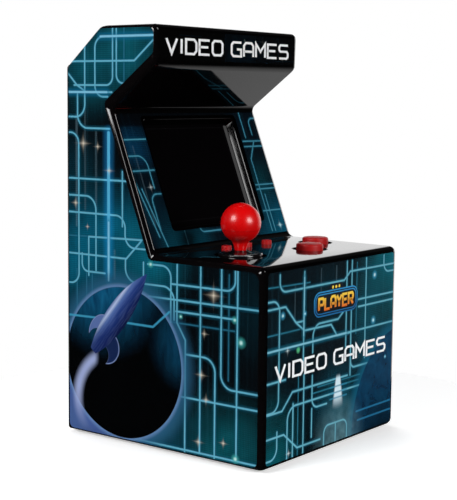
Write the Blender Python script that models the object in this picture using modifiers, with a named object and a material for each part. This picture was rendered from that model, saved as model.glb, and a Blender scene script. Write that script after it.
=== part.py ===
"""Mini arcade cabinet: a palm-size, battery-powered game machine in the shape of an upright arcade cabinet.

Every physical piece is one named object.  The frame: +X is the player's right, the player stands on the -Y side,
+Z is up, and the origin is on the table under the middle of the cabinet.  Sizes are in metres.

"depth" below means the distance behind the cabinet's front face, so y = depth - DEPTH / 2.
"""

import math

import bmesh
import bpy
from mathutils import Matrix, Vector

MM = 0.001

# ---------------------------------------------------------------- driving dimensions
WIDTH = 86.2 * MM
DEPTH = 90.0 * MM
HEIGHT = 150.0 * MM
WALL = 2.0 * MM
EDGE_RADIUS = 2.3 * MM  # rounding of the moulded outer edges
REAR_EDGE_SHARE = 0.4  # the rim around the open back is rounded less, because the wall ends there
SKIN_GAP = 0.05 * MM  # between a sticker and the plastic that it is stuck to
FIT_GAP = 0.2 * MM  # between two moulded pieces that slide together
TOUCH_GAP = 0.1 * MM  # between two pieces that rest on each other

FOOT_RADIUS = 4.0 * MM
FOOT_STAND = 0.6 * MM  # how far the cabinet floats above the table on its feet
FOOT_POCKET = 0.5 * MM

# The cabinet's side view as (depth, height) corners, starting at the front foot and going round by the top.
FRONT_FOOT = (0.0, FOOT_STAND)
DECK_FRONT = (0.0, 69.6 * MM)
DECK_REAR = (48.4 * MM, 70.0 * MM)
CANOPY_ROOT = (68.1 * MM, 120.4 * MM)
MARQUEE_FOOT = (47.2 * MM, 136.0 * MM)
MARQUEE_TOP = (47.0 * MM, HEIGHT)
CROWN_REAR = (73.8 * MM, HEIGHT)
REAR_SHOULDER = (DEPTH, 136.2 * MM)
REAR_FOOT = (DEPTH, FOOT_STAND)
SIDE_VIEW = [
    FRONT_FOOT,
    DECK_FRONT,
    DECK_REAR,
    CANOPY_ROOT,
    MARQUEE_FOOT,
    MARQUEE_TOP,
    CROWN_REAR,
    REAR_SHOULDER,
    REAR_FOOT,
]

# Controls on the deck, as (x, depth)
STICK_AT = (-21.5 * MM, 26.0 * MM)
BUTTON_B_AT = (11.0 * MM, 18.5 * MM)
BUTTON_A_AT = (29.8 * MM, 28.5 * MM)
SYSTEM_ROW_DEPTH = 39.1 * MM
SYSTEM_PITCH = 12.5 * MM
SYSTEM_BUTTONS = ("button_reset", "button_select", "button_start")

# Screen, in the sloping panel's own (x, up the panel) axes, measured from the panel's foot
SCREEN_LOW, SCREEN_HIGH = 9.1 * MM, 49.9 * MM
SCREEN_HALF = 26.8 * MM
SCREEN_DRAFT = 1.1 * MM
SCREEN_LIP = 1.3 * MM  # rounding of the recess's mouth
COLLAR_DEPTH = 3.3 * MM
LENS_THICK = 1.0 * MM
LCD_THICK = 2.7 * MM

# Back
COVER_FACE = DEPTH - 1.2 * MM
COVER_THICK = 2.0 * MM
COVER_INSIDE = COVER_FACE - COVER_THICK
BOSS_END = COVER_INSIDE - TOUCH_GAP
BOSS_X = 37.6 * MM
BOSS_HEIGHTS = (9.0 * MM, 69.5 * MM, 124.0 * MM)
SPEAKER_AT = (0.0, 104.0 * MM)  # (x, z)
SPEAKER_RADIUS = 14.0 * MM

# Batteries: three AA cells side by side
CELL_RADIUS = 7.25 * MM
CELL_LENGTH = 50.5 * MM
CELL_PITCH = 15.2 * MM
CELL_DEPTH = 79.2 * MM
TRAY_WALL = 1.2 * MM
TRAY_HALF = 23.2 * MM
TRAY_LOW, TRAY_HIGH = 6.6 * MM, 64.4 * MM
TRAY_FLOOR = 71.5 * MM  # depth of the tray's closed side
DOOR_HALF = 25.2 * MM
DOOR_LOW, DOOR_HIGH = 4.9 * MM, 66.1 * MM
DOOR_THICK = 1.8 * MM
DOOR_HOOK_X = 14.0 * MM
DOOR_HINGE = (COVER_FACE, DOOR_LOW)  # (depth, z): the door tips out over its own lower edge

# Boards
BOARD_THICK = 1.6 * MM
CONTROL_BOARD_TOP = 61.0 * MM
MAIN_BOARD_DEPTH = 9.2 * MM  # behind the sloping panel's face
POWER_BOARD_TOP = 76.6 * MM
WHEEL_AT = (27.0 * MM, 83.0 * MM)
WHEEL_RADIUS = 6.8 * MM
SWITCH_X = 13.0 * MM
PILOT_RADIUS = 1.15 * MM  # hole that a self-tapping screw bites into
SHANK_RADIUS = 1.0 * MM

AXIS_X = Vector((1, 0, 0))
AXIS_Y = Vector((0, 1, 0))
AXIS_Z = Vector((0, 0, 1))


# ---------------------------------------------------------------- frames on the cabinet's faces
def at(x, depth, z):
    """A point from its place across, its depth behind the front face and its height."""
    return Vector((x, depth - DEPTH / 2, z))


def frame(origin, across, up):
    """A matrix that puts a flat drawing's x along across, its y along up and its thickness along their normal."""
    normal = across.cross(up)
    matrix = Matrix.Identity(4)
    for column, axis in enumerate((across, up, normal)):
        matrix.col[column].xyz = axis
    matrix.translation = origin
    return matrix


def slope_between(low, high):
    """Unit vector in the side view from one corner to another."""
    return Vector((0, high[0] - low[0], high[1] - low[1])).normalized()


DECK_UP = slope_between(DECK_FRONT, DECK_REAR)
PANEL_UP = slope_between(DECK_REAR, CANOPY_ROOT)
PANEL_LENGTH = math.dist(DECK_REAR, CANOPY_ROOT)
SIDE_FRAME = frame(at(0, 0, 0), AXIS_Y, AXIS_Z)  # drawings in (depth, z), thickness along +X
FRONT_FRAME = frame(at(0, 0, 0), AXIS_X, AXIS_Z)  # drawings in (x, z), thickness towards the player
FLAT_FRAME = frame(at(0, 0, 0), AXIS_X, AXIS_Y)  # drawings in (x, depth), thickness up
DECK_FRAME = frame(at(0, *DECK_FRONT), AXIS_X, DECK_UP)
PANEL_FRAME = frame(at(0, *DECK_REAR), AXIS_X, PANEL_UP)
MARQUEE_FRAME = frame(at(0, MARQUEE_FOOT[0], 0), AXIS_X, AXIS_Z)


def sunk(matrix, depth):
    """The same frame, moved below its face by a distance along its normal."""
    return matrix @ Matrix.Translation((0, 0, -depth))


def deck_height(depth):
    return DECK_FRONT[1] + depth * DECK_UP.z / DECK_UP.y


# ---------------------------------------------------------------- flat outlines
def inset(points, margins):
    """A polygon moved inwards, each side by its own margin.  Side i runs from corner i to corner i + 1, clockwise."""
    count = len(points)
    moved = []
    for i in range(count):
        a, b = Vector(points[i]), Vector(points[(i + 1) % count])
        along = (b - a).normalized()
        inward = Vector((along.y, -along.x))
        moved.append((a + inward * margins[i], along))
    corners = []
    for i in range(count):
        (p, u), (q, v) = moved[i - 1], moved[i]
        offset = q - p
        share = (offset.x * v.y - offset.y * v.x) / (u.x * v.y - u.y * v.x)
        corners.append(tuple(p + u * share))
    return corners


def rounded(points, radius, steps=4):
    """A polygon with an arc at each corner.  radius is one number, or one for each corner."""
    radii = radius if isinstance(radius, (list, tuple)) else [radius] * len(points)
    outline = []
    for i, r in enumerate(radii):
        corner = Vector(points[i])
        before = (Vector(points[i - 1]) - corner).normalized()
        after = (Vector(points[(i + 1) % len(points)]) - corner).normalized()
        half = before.angle(after) / 2
        reach = r / math.tan(half)
        centre = corner + (before + after).normalized() * (r / math.sin(half))
        start, end = corner + before * reach - centre, corner + after * reach - centre
        turn = start.angle_signed(end)
        for step in range(steps + 1):
            spoke = start.copy()
            spoke.rotate(Matrix.Rotation(-turn * step / steps, 2))
            outline.append(tuple(centre + spoke))
    return outline


def rectangle(left, right, low, high):
    return [(left, low), (left, high), (right, high), (right, low)]


def slot(centre, length, width, steps=4):
    """A round-ended slot along the drawing's x."""
    x, y = centre
    return rounded(
        rectangle(x - length / 2, x + length / 2, y - width / 2, y + width / 2),
        width / 2 * 0.98,
        steps,
    )


# ---------------------------------------------------------------- scene and materials
def clear_scene():
    for old in list(bpy.data.objects):
        bpy.data.objects.remove(old)


def linear(channel):
    return channel / 12.92 if channel <= 0.04045 else ((channel + 0.055) / 1.055) ** 2.4


def material(name, hex_colour, roughness, metallic=0.0):
    made = bpy.data.materials.new(name)
    made.use_nodes = True
    channels = [linear(int(hex_colour[i : i + 2], 16) / 255) for i in (0, 2, 4)]
    shader = made.node_tree.nodes["Principled BSDF"]
    shader.inputs["Base Color"].default_value = (*channels, 1)
    shader.inputs["Roughness"].default_value = roughness
    shader.inputs["Metallic"].default_value = metallic
    return made


clear_scene()
CABINET = bpy.data.collections.new("mini_arcade_cabinet")
HELPERS = bpy.data.collections.new("cutters_and_unions")
for group in (CABINET, HELPERS):
    bpy.context.scene.collection.children.link(group)

GLOSS_BLACK = material("gloss_black_abs", "0B0B0D", 0.12)
MATT_BLACK = material("textured_black_abs", "161618", 0.5)
STICKER = material("printed_vinyl_sticker", "0D4A63", 0.25)
RED_GLOSS = material("red_abs", "C4070E", 0.15)
RED_BUTTON = material("dark_red_abs", "9E1418", 0.2)
CLEAR = material("smoked_acrylic", "08090B", 0.05)
SILICONE = material("grey_silicone", "8E9296", 0.7)
CIRCUIT = material("green_circuit_board", "14553A", 0.4)
EPOXY = material("black_epoxy", "0A0A0A", 0.35)
TIN = material("tinned_spring_steel", "B9BCC0", 0.3, 1.0)
STEEL = material("zinc_plated_screw", "A9ABAE", 0.35, 1.0)
CELL_WRAP = material("battery_wrap", "2F3B4A", 0.3)
RUBBER = material("black_rubber", "151515", 0.85)
PAPER_CONE = material("speaker_paper", "1E1E20", 0.9)
RIBBON = material("polyester_ribbon", "C9C6BC", 0.4)
LEAD = material("pvc_lead", "B31217", 0.45)


# ---------------------------------------------------------------- solids
def link(name, mesh, finish, group=CABINET):
    obj = bpy.data.objects.new(name, mesh)
    group.objects.link(obj)
    if finish is not None:
        mesh.materials.append(finish)
    return obj


def helper_group(name):
    """A collection of shapes that are cut from, or joined to, one piece."""
    group = bpy.data.collections.new(name)
    HELPERS.children.link(group)
    return group


def as_helper(obj):
    obj.hide_render = True
    obj.display_type = "WIRE"
    return obj


def smooth(mesh, angle=35):
    mesh.shade_smooth()
    mesh.set_sharp_from_angle(angle=math.radians(angle))


def plate(name, outlines, thickness, matrix, finish=None, group=CABINET):
    """A flat sheet from a drawing.  Its outer face is the frame's face, and it is that thick below it.

    The first outline is the edge, and any others are holes."""
    curve = bpy.data.curves.new(name, "CURVE")
    curve.dimensions = "2D"
    curve.fill_mode = "BOTH"
    curve.extrude = thickness / 2
    for outline in outlines:
        spline = curve.splines.new("POLY")
        spline.points.add(len(outline) - 1)
        for point, (x, y) in zip(spline.points, outline):
            point.co = (x, y, 0, 1)
        spline.use_cyclic_u = True
    drawn = bpy.data.objects.new(name, curve)
    group.objects.link(drawn)
    drawn.matrix_world = sunk(matrix, thickness / 2)
    return to_mesh_object(drawn, name, finish, group)


def to_mesh_object(drawn, name, finish, group):
    """Swaps a curve object for a mesh object of the same shape, with its caps welded on."""
    bpy.context.view_layer.update()
    graph = bpy.context.evaluated_depsgraph_get()
    mesh = bpy.data.meshes.new_from_object(drawn.evaluated_get(graph))
    matrix = drawn.matrix_world.copy()
    bpy.data.objects.remove(drawn)
    shape = bmesh.new()
    shape.from_mesh(mesh)
    bmesh.ops.remove_doubles(shape, verts=shape.verts, dist=1e-6)
    bmesh.ops.recalc_face_normals(shape, faces=shape.faces)
    shape.to_mesh(mesh)
    shape.free()
    mesh.name = name
    mesh.materials.clear()
    obj = link(name, mesh, finish, group)
    obj.matrix_world = matrix
    return obj


def box(name, low, high, finish=None, group=CABINET, matrix=None):
    """A block between two corners, given in the matrix's axes or in the cabinet's own."""
    low, high = Vector(low), Vector(high)
    shape = bmesh.new()
    bmesh.ops.create_cube(shape, size=1)
    size = high - low
    centre = (low + high) / 2
    bmesh.ops.scale(shape, verts=shape.verts, vec=size)
    mesh = bpy.data.meshes.new(name)
    shape.to_mesh(mesh)
    shape.free()
    obj = link(name, mesh, finish, group)
    obj.matrix_world = (matrix or Matrix.Identity(4)) @ Matrix.Translation(centre)
    return obj


def rod(name, radius, low, high, matrix, finish=None, group=CABINET, sides=24, top_radius=None):
    """A cylinder or cone along a frame's normal, between two heights above its face."""
    shape = bmesh.new()
    bmesh.ops.create_cone(
        shape,
        cap_ends=True,
        segments=sides,
        radius1=radius,
        radius2=radius if top_radius is None else top_radius,
        depth=high - low,
    )
    mesh = bpy.data.meshes.new(name)
    shape.to_mesh(mesh)
    shape.free()
    smooth(mesh)
    obj = link(name, mesh, finish, group)
    obj.matrix_world = matrix @ Matrix.Translation((0, 0, (low + high) / 2))
    return obj


def turned(name, profile, matrix, finish=None, group=CABINET, sides=32, closed=False):
    """A turned piece.  Its profile is (radius, height) points down its outer side, spun about the frame's normal."""
    mesh = bpy.data.meshes.new(name)
    verts = [(r, 0, h) for r, h in profile]
    edges = [(i, i + 1) for i in range(len(verts) - 1)]
    if closed:
        edges.append((len(verts) - 1, 0))
    mesh.from_pydata(verts, edges, [])
    obj = link(name, mesh, finish, group)
    obj.matrix_world = matrix
    spin = obj.modifiers.new("spin", "SCREW")
    spin.angle = math.tau
    spin.steps = spin.render_steps = sides
    spin.use_merge_vertices = True
    spin.merge_threshold = 1e-6
    spin.use_smooth_shade = True
    return obj


def centred(matrix, x, y):
    """A frame moved along its own drawing axes."""
    return matrix @ Matrix.Translation((x, y, 0))


def arc(centre, radius, start, end, steps):
    """Points on an arc in a profile, angles in degrees from the outward direction."""
    points = []
    for step in range(steps + 1):
        angle = math.radians(start + (end - start) * step / steps)
        points.append((centre[0] + radius * math.cos(angle), centre[1] + radius * math.sin(angle)))
    return points


def pivot(name, origin, pieces):
    """An empty on a joint's axis, which carries the pieces that move with it."""
    empty = bpy.data.objects.new(name, None)
    empty.empty_display_size = 5 * MM
    CABINET.objects.link(empty)
    empty.location = origin
    bpy.context.view_layer.update()
    for piece in pieces:
        piece.parent = empty
        piece.matrix_parent_inverse = empty.matrix_world.inverted()
    return empty


def boolean(obj, operand, operation):
    cut = obj.modifiers.new(operation.lower(), "BOOLEAN")
    cut.operation = operation
    cut.solver = "EXACT"
    if isinstance(operand, bpy.types.Collection):
        cut.operand_type = "COLLECTION"
        cut.collection = operand
        for shape in operand.objects:
            as_helper(shape)
    else:
        cut.object = as_helper(operand)


def bevel(obj, width, segments=2, angle=40):
    """Rounds the edges that are sharper than the angle."""
    edge = obj.modifiers.new("rounding", "BEVEL")
    edge.width = width
    edge.segments = segments
    edge.limit_method = "ANGLE"
    edge.angle_limit = math.radians(angle)


def smooth_path(points, per_span=3):
    """Points on a smooth curve through the given points (Catmull-Rom)."""
    knots = [Vector(p) for p in points]
    knots = [2 * knots[0] - knots[1], *knots, 2 * knots[-1] - knots[-2]]
    path = []
    for a, b, c, d in zip(knots, knots[1:], knots[2:], knots[3:]):
        for step in range(per_span):
            t = step / per_span
            path.append(
                0.5 * (2 * b + (c - a) * t + (2 * a - 5 * b + 4 * c - d) * t**2 + (3 * b - a - 3 * c + d) * t**3)
            )
    return [*path, knots[-2]]


def wire(name, path, radius, finish, resolution=1):
    """A round wire along a list of points."""
    curve = bpy.data.curves.new(name, "CURVE")
    curve.dimensions = "3D"
    curve.bevel_depth = radius
    curve.bevel_resolution = resolution
    curve.use_fill_caps = True
    curve.materials.append(finish)
    spline = curve.splines.new("POLY")
    spline.points.add(len(path) - 1)
    for point, place in zip(spline.points, path):
        point.co = (*place, 1)
    obj = bpy.data.objects.new(name, curve)
    CABINET.objects.link(obj)
    return obj


def band(path, thickness):
    """The outline of a thin strip seen edge on, from the line along its middle."""
    left, right = [], []
    for i, point in enumerate(path):
        ahead = Vector(path[min(i + 1, len(path) - 1)]) - Vector(path[max(i - 1, 0)])
        side = Vector((-ahead.y, ahead.x)).normalized() * thickness / 2
        left.append(tuple(Vector(point) + side))
        right.append(tuple(Vector(point) - side))
    return left + right[::-1]


# ---------------------------------------------------------------- front housing
def housing_body():
    """The closed outer form: the side view drawn once and pulled across the cabinet's width."""
    shape = bmesh.new()
    corners = [shape.verts.new(at(-WIDTH / 2, *corner)) for corner in SIDE_VIEW]
    side = shape.faces.new(corners)
    pulled = bmesh.ops.extrude_face_region(shape, geom=[side])["geom"]
    far = [item for item in pulled if isinstance(item, bmesh.types.BMVert)]
    bmesh.ops.translate(shape, verts=far, vec=(WIDTH, 0, 0))
    bmesh.ops.recalc_face_normals(shape, faces=shape.faces)
    weight = shape.edges.layers.float.new("bevel_weight_edge")
    for edge in shape.edges:
        at_rear = all(abs(v.co.y - DEPTH / 2) < WALL / 10 for v in edge.verts)
        edge[weight] = REAR_EDGE_SHARE if at_rear else 1.0
    mesh = bpy.data.meshes.new("front_housing")
    shape.to_mesh(mesh)
    shape.free()
    obj = link("front_housing", mesh, GLOSS_BLACK)
    rounding = obj.modifiers.new("rounding", "BEVEL")
    rounding.width = EDGE_RADIUS
    rounding.segments = 3
    rounding.limit_method = "WEIGHT"
    return obj


def cavity():
    """The moulding core, which leaves the wall and pulls out through the open back."""
    margins = [WALL] * len(SIDE_VIEW)
    margins[SIDE_VIEW.index(REAR_SHOULDER)] = -5 * MM
    core = inset(SIDE_VIEW, margins)
    half = WIDTH / 2 - WALL
    matrix = SIDE_FRAME @ Matrix.Translation((0, 0, half))
    return plate("housing_core", [core], 2 * half, matrix, group=HELPERS)


def housing_additions():
    """Everything that stands on the inside of the housing's walls."""
    group = helper_group("housing_additions")
    for side in (-1, 1):
        for z in BOSS_HEIGHTS:
            tag = f"{'left' if side < 0 else 'right'}_{z * 1000:.0f}"
            place = frame(at(side * BOSS_X, BOSS_END, z), AXIS_X, AXIS_Z)
            rod(f"boss_{tag}", 3.0 * MM, 0, 15 * MM, place, group=group, sides=12)
            rib_from, rib_to = sorted((side * (BOSS_X + 1 * MM), side * (WIDTH / 2 - WALL / 2)))
            box(
                f"boss_rib_{tag}",
                at(rib_from, BOSS_END - 15 * MM, z - 1 * MM),
                at(rib_to, BOSS_END - 0.5 * MM, z + 1 * MM),
                group=group,
            )
    for x, depth in control_posts():
        place = centred(FLAT_FRAME, x, depth)
        rod(
            f"deck_post_{x * 1000:.0f}_{depth * 1000:.0f}",
            2.6 * MM,
            CONTROL_BOARD_TOP + TOUCH_GAP,
            deck_height(depth) - WALL / 2,
            place,
            group=group,
            sides=12,
        )
    for x, up in panel_posts():
        rod(
            f"panel_post_{x * 1000:.0f}_{up * 1000:.0f}",
            2.6 * MM,
            -MAIN_BOARD_DEPTH + TOUCH_GAP,
            -WALL / 2,
            centred(PANEL_FRAME, x, up),
            group=group,
            sides=12,
        )
    collar = rectangle(-30 * MM, 30 * MM, 4.5 * MM, PANEL_LENGTH)
    plate("screen_collar", [collar], COLLAR_DEPTH - WALL / 2, sunk(PANEL_FRAME, WALL / 2), group=group)
    return group


def control_posts():
    return [(x * MM, depth * MM) for x in (-35, 35) for depth in (7.5, 42)]


def panel_posts():
    return [(x * MM, up * MM) for x in (-35.5, 35.5) for up in (9, 46)]


def grown(outline, by):
    """A clockwise outline pushed outwards, point by point."""
    count = len(outline)
    out = []
    for i, point in enumerate(outline):
        along = Vector(outline[(i + 1) % count]) - Vector(outline[i - 1])
        out.append(tuple(Vector(point) + Vector((-along.y, along.x)).normalized() * by))
    return out


def recess(name, mouth, floor, depth, lip, matrix, group):
    """A tapered pocket with a rounded lip: a loft from above the face, round the lip and down to the floor."""
    sections = [(grown(mouth, lip), 1 * MM)]
    for angle in (0, 30, 60, 90):
        turn = math.radians(angle)
        sections.append((grown(mouth, lip * (1 - math.sin(turn))), -lip * (1 - math.cos(turn))))
    sections.append((floor, -depth))
    shape = bmesh.new()
    rings = [[shape.verts.new((x, y, height)) for x, y in outline] for outline, height in sections]
    shape.faces.new(rings[0])
    shape.faces.new(rings[-1][::-1])
    count = len(mouth)
    for upper, lower in zip(rings, rings[1:]):
        for i in range(count):
            j = (i + 1) % count
            shape.faces.new((upper[j], upper[i], lower[i], lower[j]))
    bmesh.ops.recalc_face_normals(shape, faces=shape.faces)
    mesh = bpy.data.meshes.new(name)
    shape.to_mesh(mesh)
    shape.free()
    obj = link(name, mesh, None, group)
    obj.matrix_world = matrix
    return obj


def sticker_outlines():
    """The five stickers as (outline, holes) in the drawing axes of the face that each is stuck to."""
    side = rounded(
        inset(SIDE_VIEW, [2.2 * MM, 2.0 * MM, 2.3 * MM, 3.9 * MM, 1.4 * MM, 1.2 * MM, 1.2 * MM, 1.2 * MM, 1.2 * MM]),
        [2.0 * MM, 3.0 * MM, 2.0 * MM, 2.0 * MM, 2.0 * MM, 2.0 * MM, 2.0 * MM, 2.0 * MM, 2.0 * MM],
        3,
    )
    half = WIDTH / 2
    front = rounded(
        rectangle(-half + 2.3 * MM, half - 2.3 * MM, FOOT_STAND + 1.6 * MM, DECK_FRONT[1] - 2.1 * MM), 1.2 * MM, 3
    )
    marquee = rounded(
        rectangle(-half + 2.3 * MM, half - 2.3 * MM, MARQUEE_FOOT[1] + 1.9 * MM, HEIGHT - 1.9 * MM), 0.8 * MM, 3
    )
    panel = rounded(rectangle(-half + 2.3 * MM, half - 2.3 * MM, 2.0 * MM, PANEL_LENGTH - 1.6 * MM), 0.8 * MM, 3)
    margin = SCREEN_LIP + 0.35 * MM
    window = rounded(
        rectangle(-SCREEN_HALF - margin, SCREEN_HALF + margin, SCREEN_LOW - margin, SCREEN_HIGH + margin),
        1.6 * MM,
        3,
    )
    return {"side": [side], "front": [front], "marquee": [marquee], "panel": [panel, window]}


STICKER_THICK = 0.2 * MM
POCKET_DEPTH = STICKER_THICK + 2 * SKIN_GAP


def mirrored_side_frame(side, depth):
    """Where a sheet lies just under one side of the cabinet: depth below the face to the sheet's outer face."""
    x = side * (WIDTH / 2 - depth)
    return SIDE_FRAME @ Matrix.Translation((0, 0, x))


def sheet_on_side(name, outlines, side, depth, thickness, finish, group=CABINET):
    matrix = mirrored_side_frame(side, depth)
    if side < 0:
        matrix = matrix @ Matrix.Translation((0, 0, thickness))
    return plate(name, outlines, thickness, matrix, finish, group)


def sticker_pockets(group):
    """Shallow pockets in the walls, so that each sticker lies flush.  They reach 1 mm out past the face."""
    out = 1 * MM
    drawings = sticker_outlines()
    wider = grown(drawings["side"][0], SKIN_GAP)
    for side in (-1, 1):
        sheet_on_side(f"side_pocket_{side}", [wider], side, -out, out + POCKET_DEPTH, None, group)
    for kind, matrix in (("front", FRONT_FRAME), ("marquee", MARQUEE_FRAME), ("panel", PANEL_FRAME)):
        wider = grown(drawings[kind][0], SKIN_GAP)
        plate(f"{kind}_pocket", [wider], out + POCKET_DEPTH, sunk(matrix, -out), group=group)


def housing_cuts():
    """Every hole, pocket and window in the housing."""
    group = helper_group("housing_cuts")
    mouth = rounded(rectangle(-SCREEN_HALF, SCREEN_HALF, SCREEN_LOW, SCREEN_HIGH), 1.0 * MM, 3)
    floor = rounded(
        rectangle(
            -SCREEN_HALF + SCREEN_DRAFT,
            SCREEN_HALF - SCREEN_DRAFT,
            SCREEN_LOW + SCREEN_DRAFT,
            SCREEN_HIGH - SCREEN_DRAFT,
        ),
        0.8 * MM,
        3,
    )
    recess("screen_window", mouth, floor, COLLAR_DEPTH + 0.5 * MM, SCREEN_LIP, PANEL_FRAME, group)
    through = (-8 * MM, 4 * MM)
    rod("stick_hole", STICK_HOLE, *through, centred(DECK_FRAME, *STICK_AT), group=group, sides=28)
    for name, place in (("button_a", BUTTON_A_AT), ("button_b", BUTTON_B_AT)):
        rod(f"{name}_hole", BUTTON_RADIUS + 0.35 * MM, *through, centred(DECK_FRAME, *place), group=group, sides=24)
        rod(
            f"{name}_dish",
            DISH_RADIUS - 0.5 * MM,
            -0.5 * MM,
            0.5 * MM,
            centred(DECK_FRAME, *place),
            group=group,
            sides=24,
            top_radius=DISH_RADIUS + 0.5 * MM,
        )
    for index, name in enumerate(SYSTEM_BUTTONS):
        place = centred(DECK_FRAME, (index - 1) * SYSTEM_PITCH, SYSTEM_ROW_DEPTH)
        rod(f"{name}_hole", SYSTEM_RADIUS + 0.25 * MM, *through, place, group=group, sides=12)
    for x, depth in control_posts():
        rod(
            f"deck_pilot_{x * 1000:.0f}_{depth * 1000:.0f}",
            PILOT_RADIUS,
            CONTROL_BOARD_TOP - 1 * MM,
            CONTROL_BOARD_TOP + 5 * MM,
            centred(FLAT_FRAME, x, depth),
            group=group,
            sides=8,
        )
    for x, up in panel_posts():
        rod(
            f"panel_pilot_{x * 1000:.0f}_{up * 1000:.0f}",
            PILOT_RADIUS,
            -MAIN_BOARD_DEPTH - 1 * MM,
            -MAIN_BOARD_DEPTH + 5.5 * MM,
            centred(PANEL_FRAME, x, up),
            group=group,
            sides=8,
        )
    for x, z in screw_places():
        place = frame(at(x, BOSS_END, z), AXIS_X, AXIS_Z)
        rod(f"rear_pilot_{x * 1000:.0f}_{z * 1000:.0f}", PILOT_RADIUS, -1 * MM, 9 * MM, place, group=group, sides=8)
    for name, x, depth in foot_places():
        place = centred(FLAT_FRAME, x, depth)
        top = FOOT_STAND + FOOT_POCKET
        rod(f"{name}_pocket", FOOT_RADIUS + FIT_GAP, -1 * MM, top, place, group=group, sides=14)
    sticker_pockets(group)
    return group


def screw_places():
    return [(side * BOSS_X, z) for side in (-1, 1) for z in BOSS_HEIGHTS]


def foot_places():
    return [
        (f"foot_{'front' if depth < DEPTH / 2 else 'rear'}_{'left' if x < 0 else 'right'}", x, depth)
        for x in (-33 * MM, 33 * MM)
        for depth in (10 * MM, 80 * MM)
    ]


def make_housing():
    body = housing_body()
    boolean(body, cavity(), "DIFFERENCE")
    boolean(body, housing_additions(), "UNION")
    boolean(body, housing_cuts(), "DIFFERENCE")


def make_stickers():
    drawings = sticker_outlines()
    for name, side in (("left_side_sticker", -1), ("right_side_sticker", 1)):
        sheet_on_side(name, drawings["side"], side, SKIN_GAP, STICKER_THICK, STICKER)
    plate("front_sticker", drawings["front"], STICKER_THICK, sunk(FRONT_FRAME, SKIN_GAP), STICKER)
    plate("marquee_sticker", drawings["marquee"], STICKER_THICK, sunk(MARQUEE_FRAME, SKIN_GAP), STICKER)
    plate("screen_surround_sticker", drawings["panel"], STICKER_THICK, sunk(PANEL_FRAME, SKIN_GAP), STICKER)


def make_feet():
    for name, x, depth in foot_places():
        top = FOOT_STAND + FOOT_POCKET - SKIN_GAP
        profile = [(0, top), (FOOT_RADIUS, top), (FOOT_RADIUS, 0.25 * MM), (FOOT_RADIUS - 0.25 * MM, 0), (0, 0)]
        turned(name, profile, centred(FLAT_FRAME, x, depth), RUBBER, sides=14)


# ---------------------------------------------------------------- screen
def make_screen():
    lens_depth = COLLAR_DEPTH + TOUCH_GAP
    lens = rounded(rectangle(-28.3 * MM, 28.3 * MM, 6.4 * MM, 53.2 * MM), 1.0 * MM, 2)
    plate("screen_lens", [lens], LENS_THICK, sunk(PANEL_FRAME, lens_depth), CLEAR)
    lcd_depth = lens_depth + LENS_THICK + FIT_GAP
    can = rectangle(-27.8 * MM, 27.8 * MM, 7.2 * MM, 52.4 * MM)
    lcd = plate("lcd_module", [can], LCD_THICK, sunk(PANEL_FRAME, lcd_depth), TIN)
    glass = rectangle(-25.0 * MM, 25.0 * MM, 10.8 * MM, 48.3 * MM)
    lip = 0.4 * MM
    cut = plate("lcd_glass_step", [glass], 1 * MM + lip, sunk(PANEL_FRAME, lcd_depth - 1 * MM), group=HELPERS)
    boolean(lcd, cut, "DIFFERENCE")


# ---------------------------------------------------------------- joystick
STICK_HOLE = 9.3 * MM
ROCKER_RADIUS = 8.0 * MM
SKIRT_RADIUS = 11.0 * MM
ROCKER_TOP = 71.5 * MM
ROCKER_RIM = 70.75 * MM
TILT_HEIGHT = 64.6 * MM  # height of the point that the stick tilts about
PIVOT_RADIUS = 2.4 * MM
BALL_HEIGHT = 81.2 * MM
BALL_RADIUS = 7.15 * MM
STUD_RADIUS = 1.6 * MM
STUD_FOOT = 68.3 * MM


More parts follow.
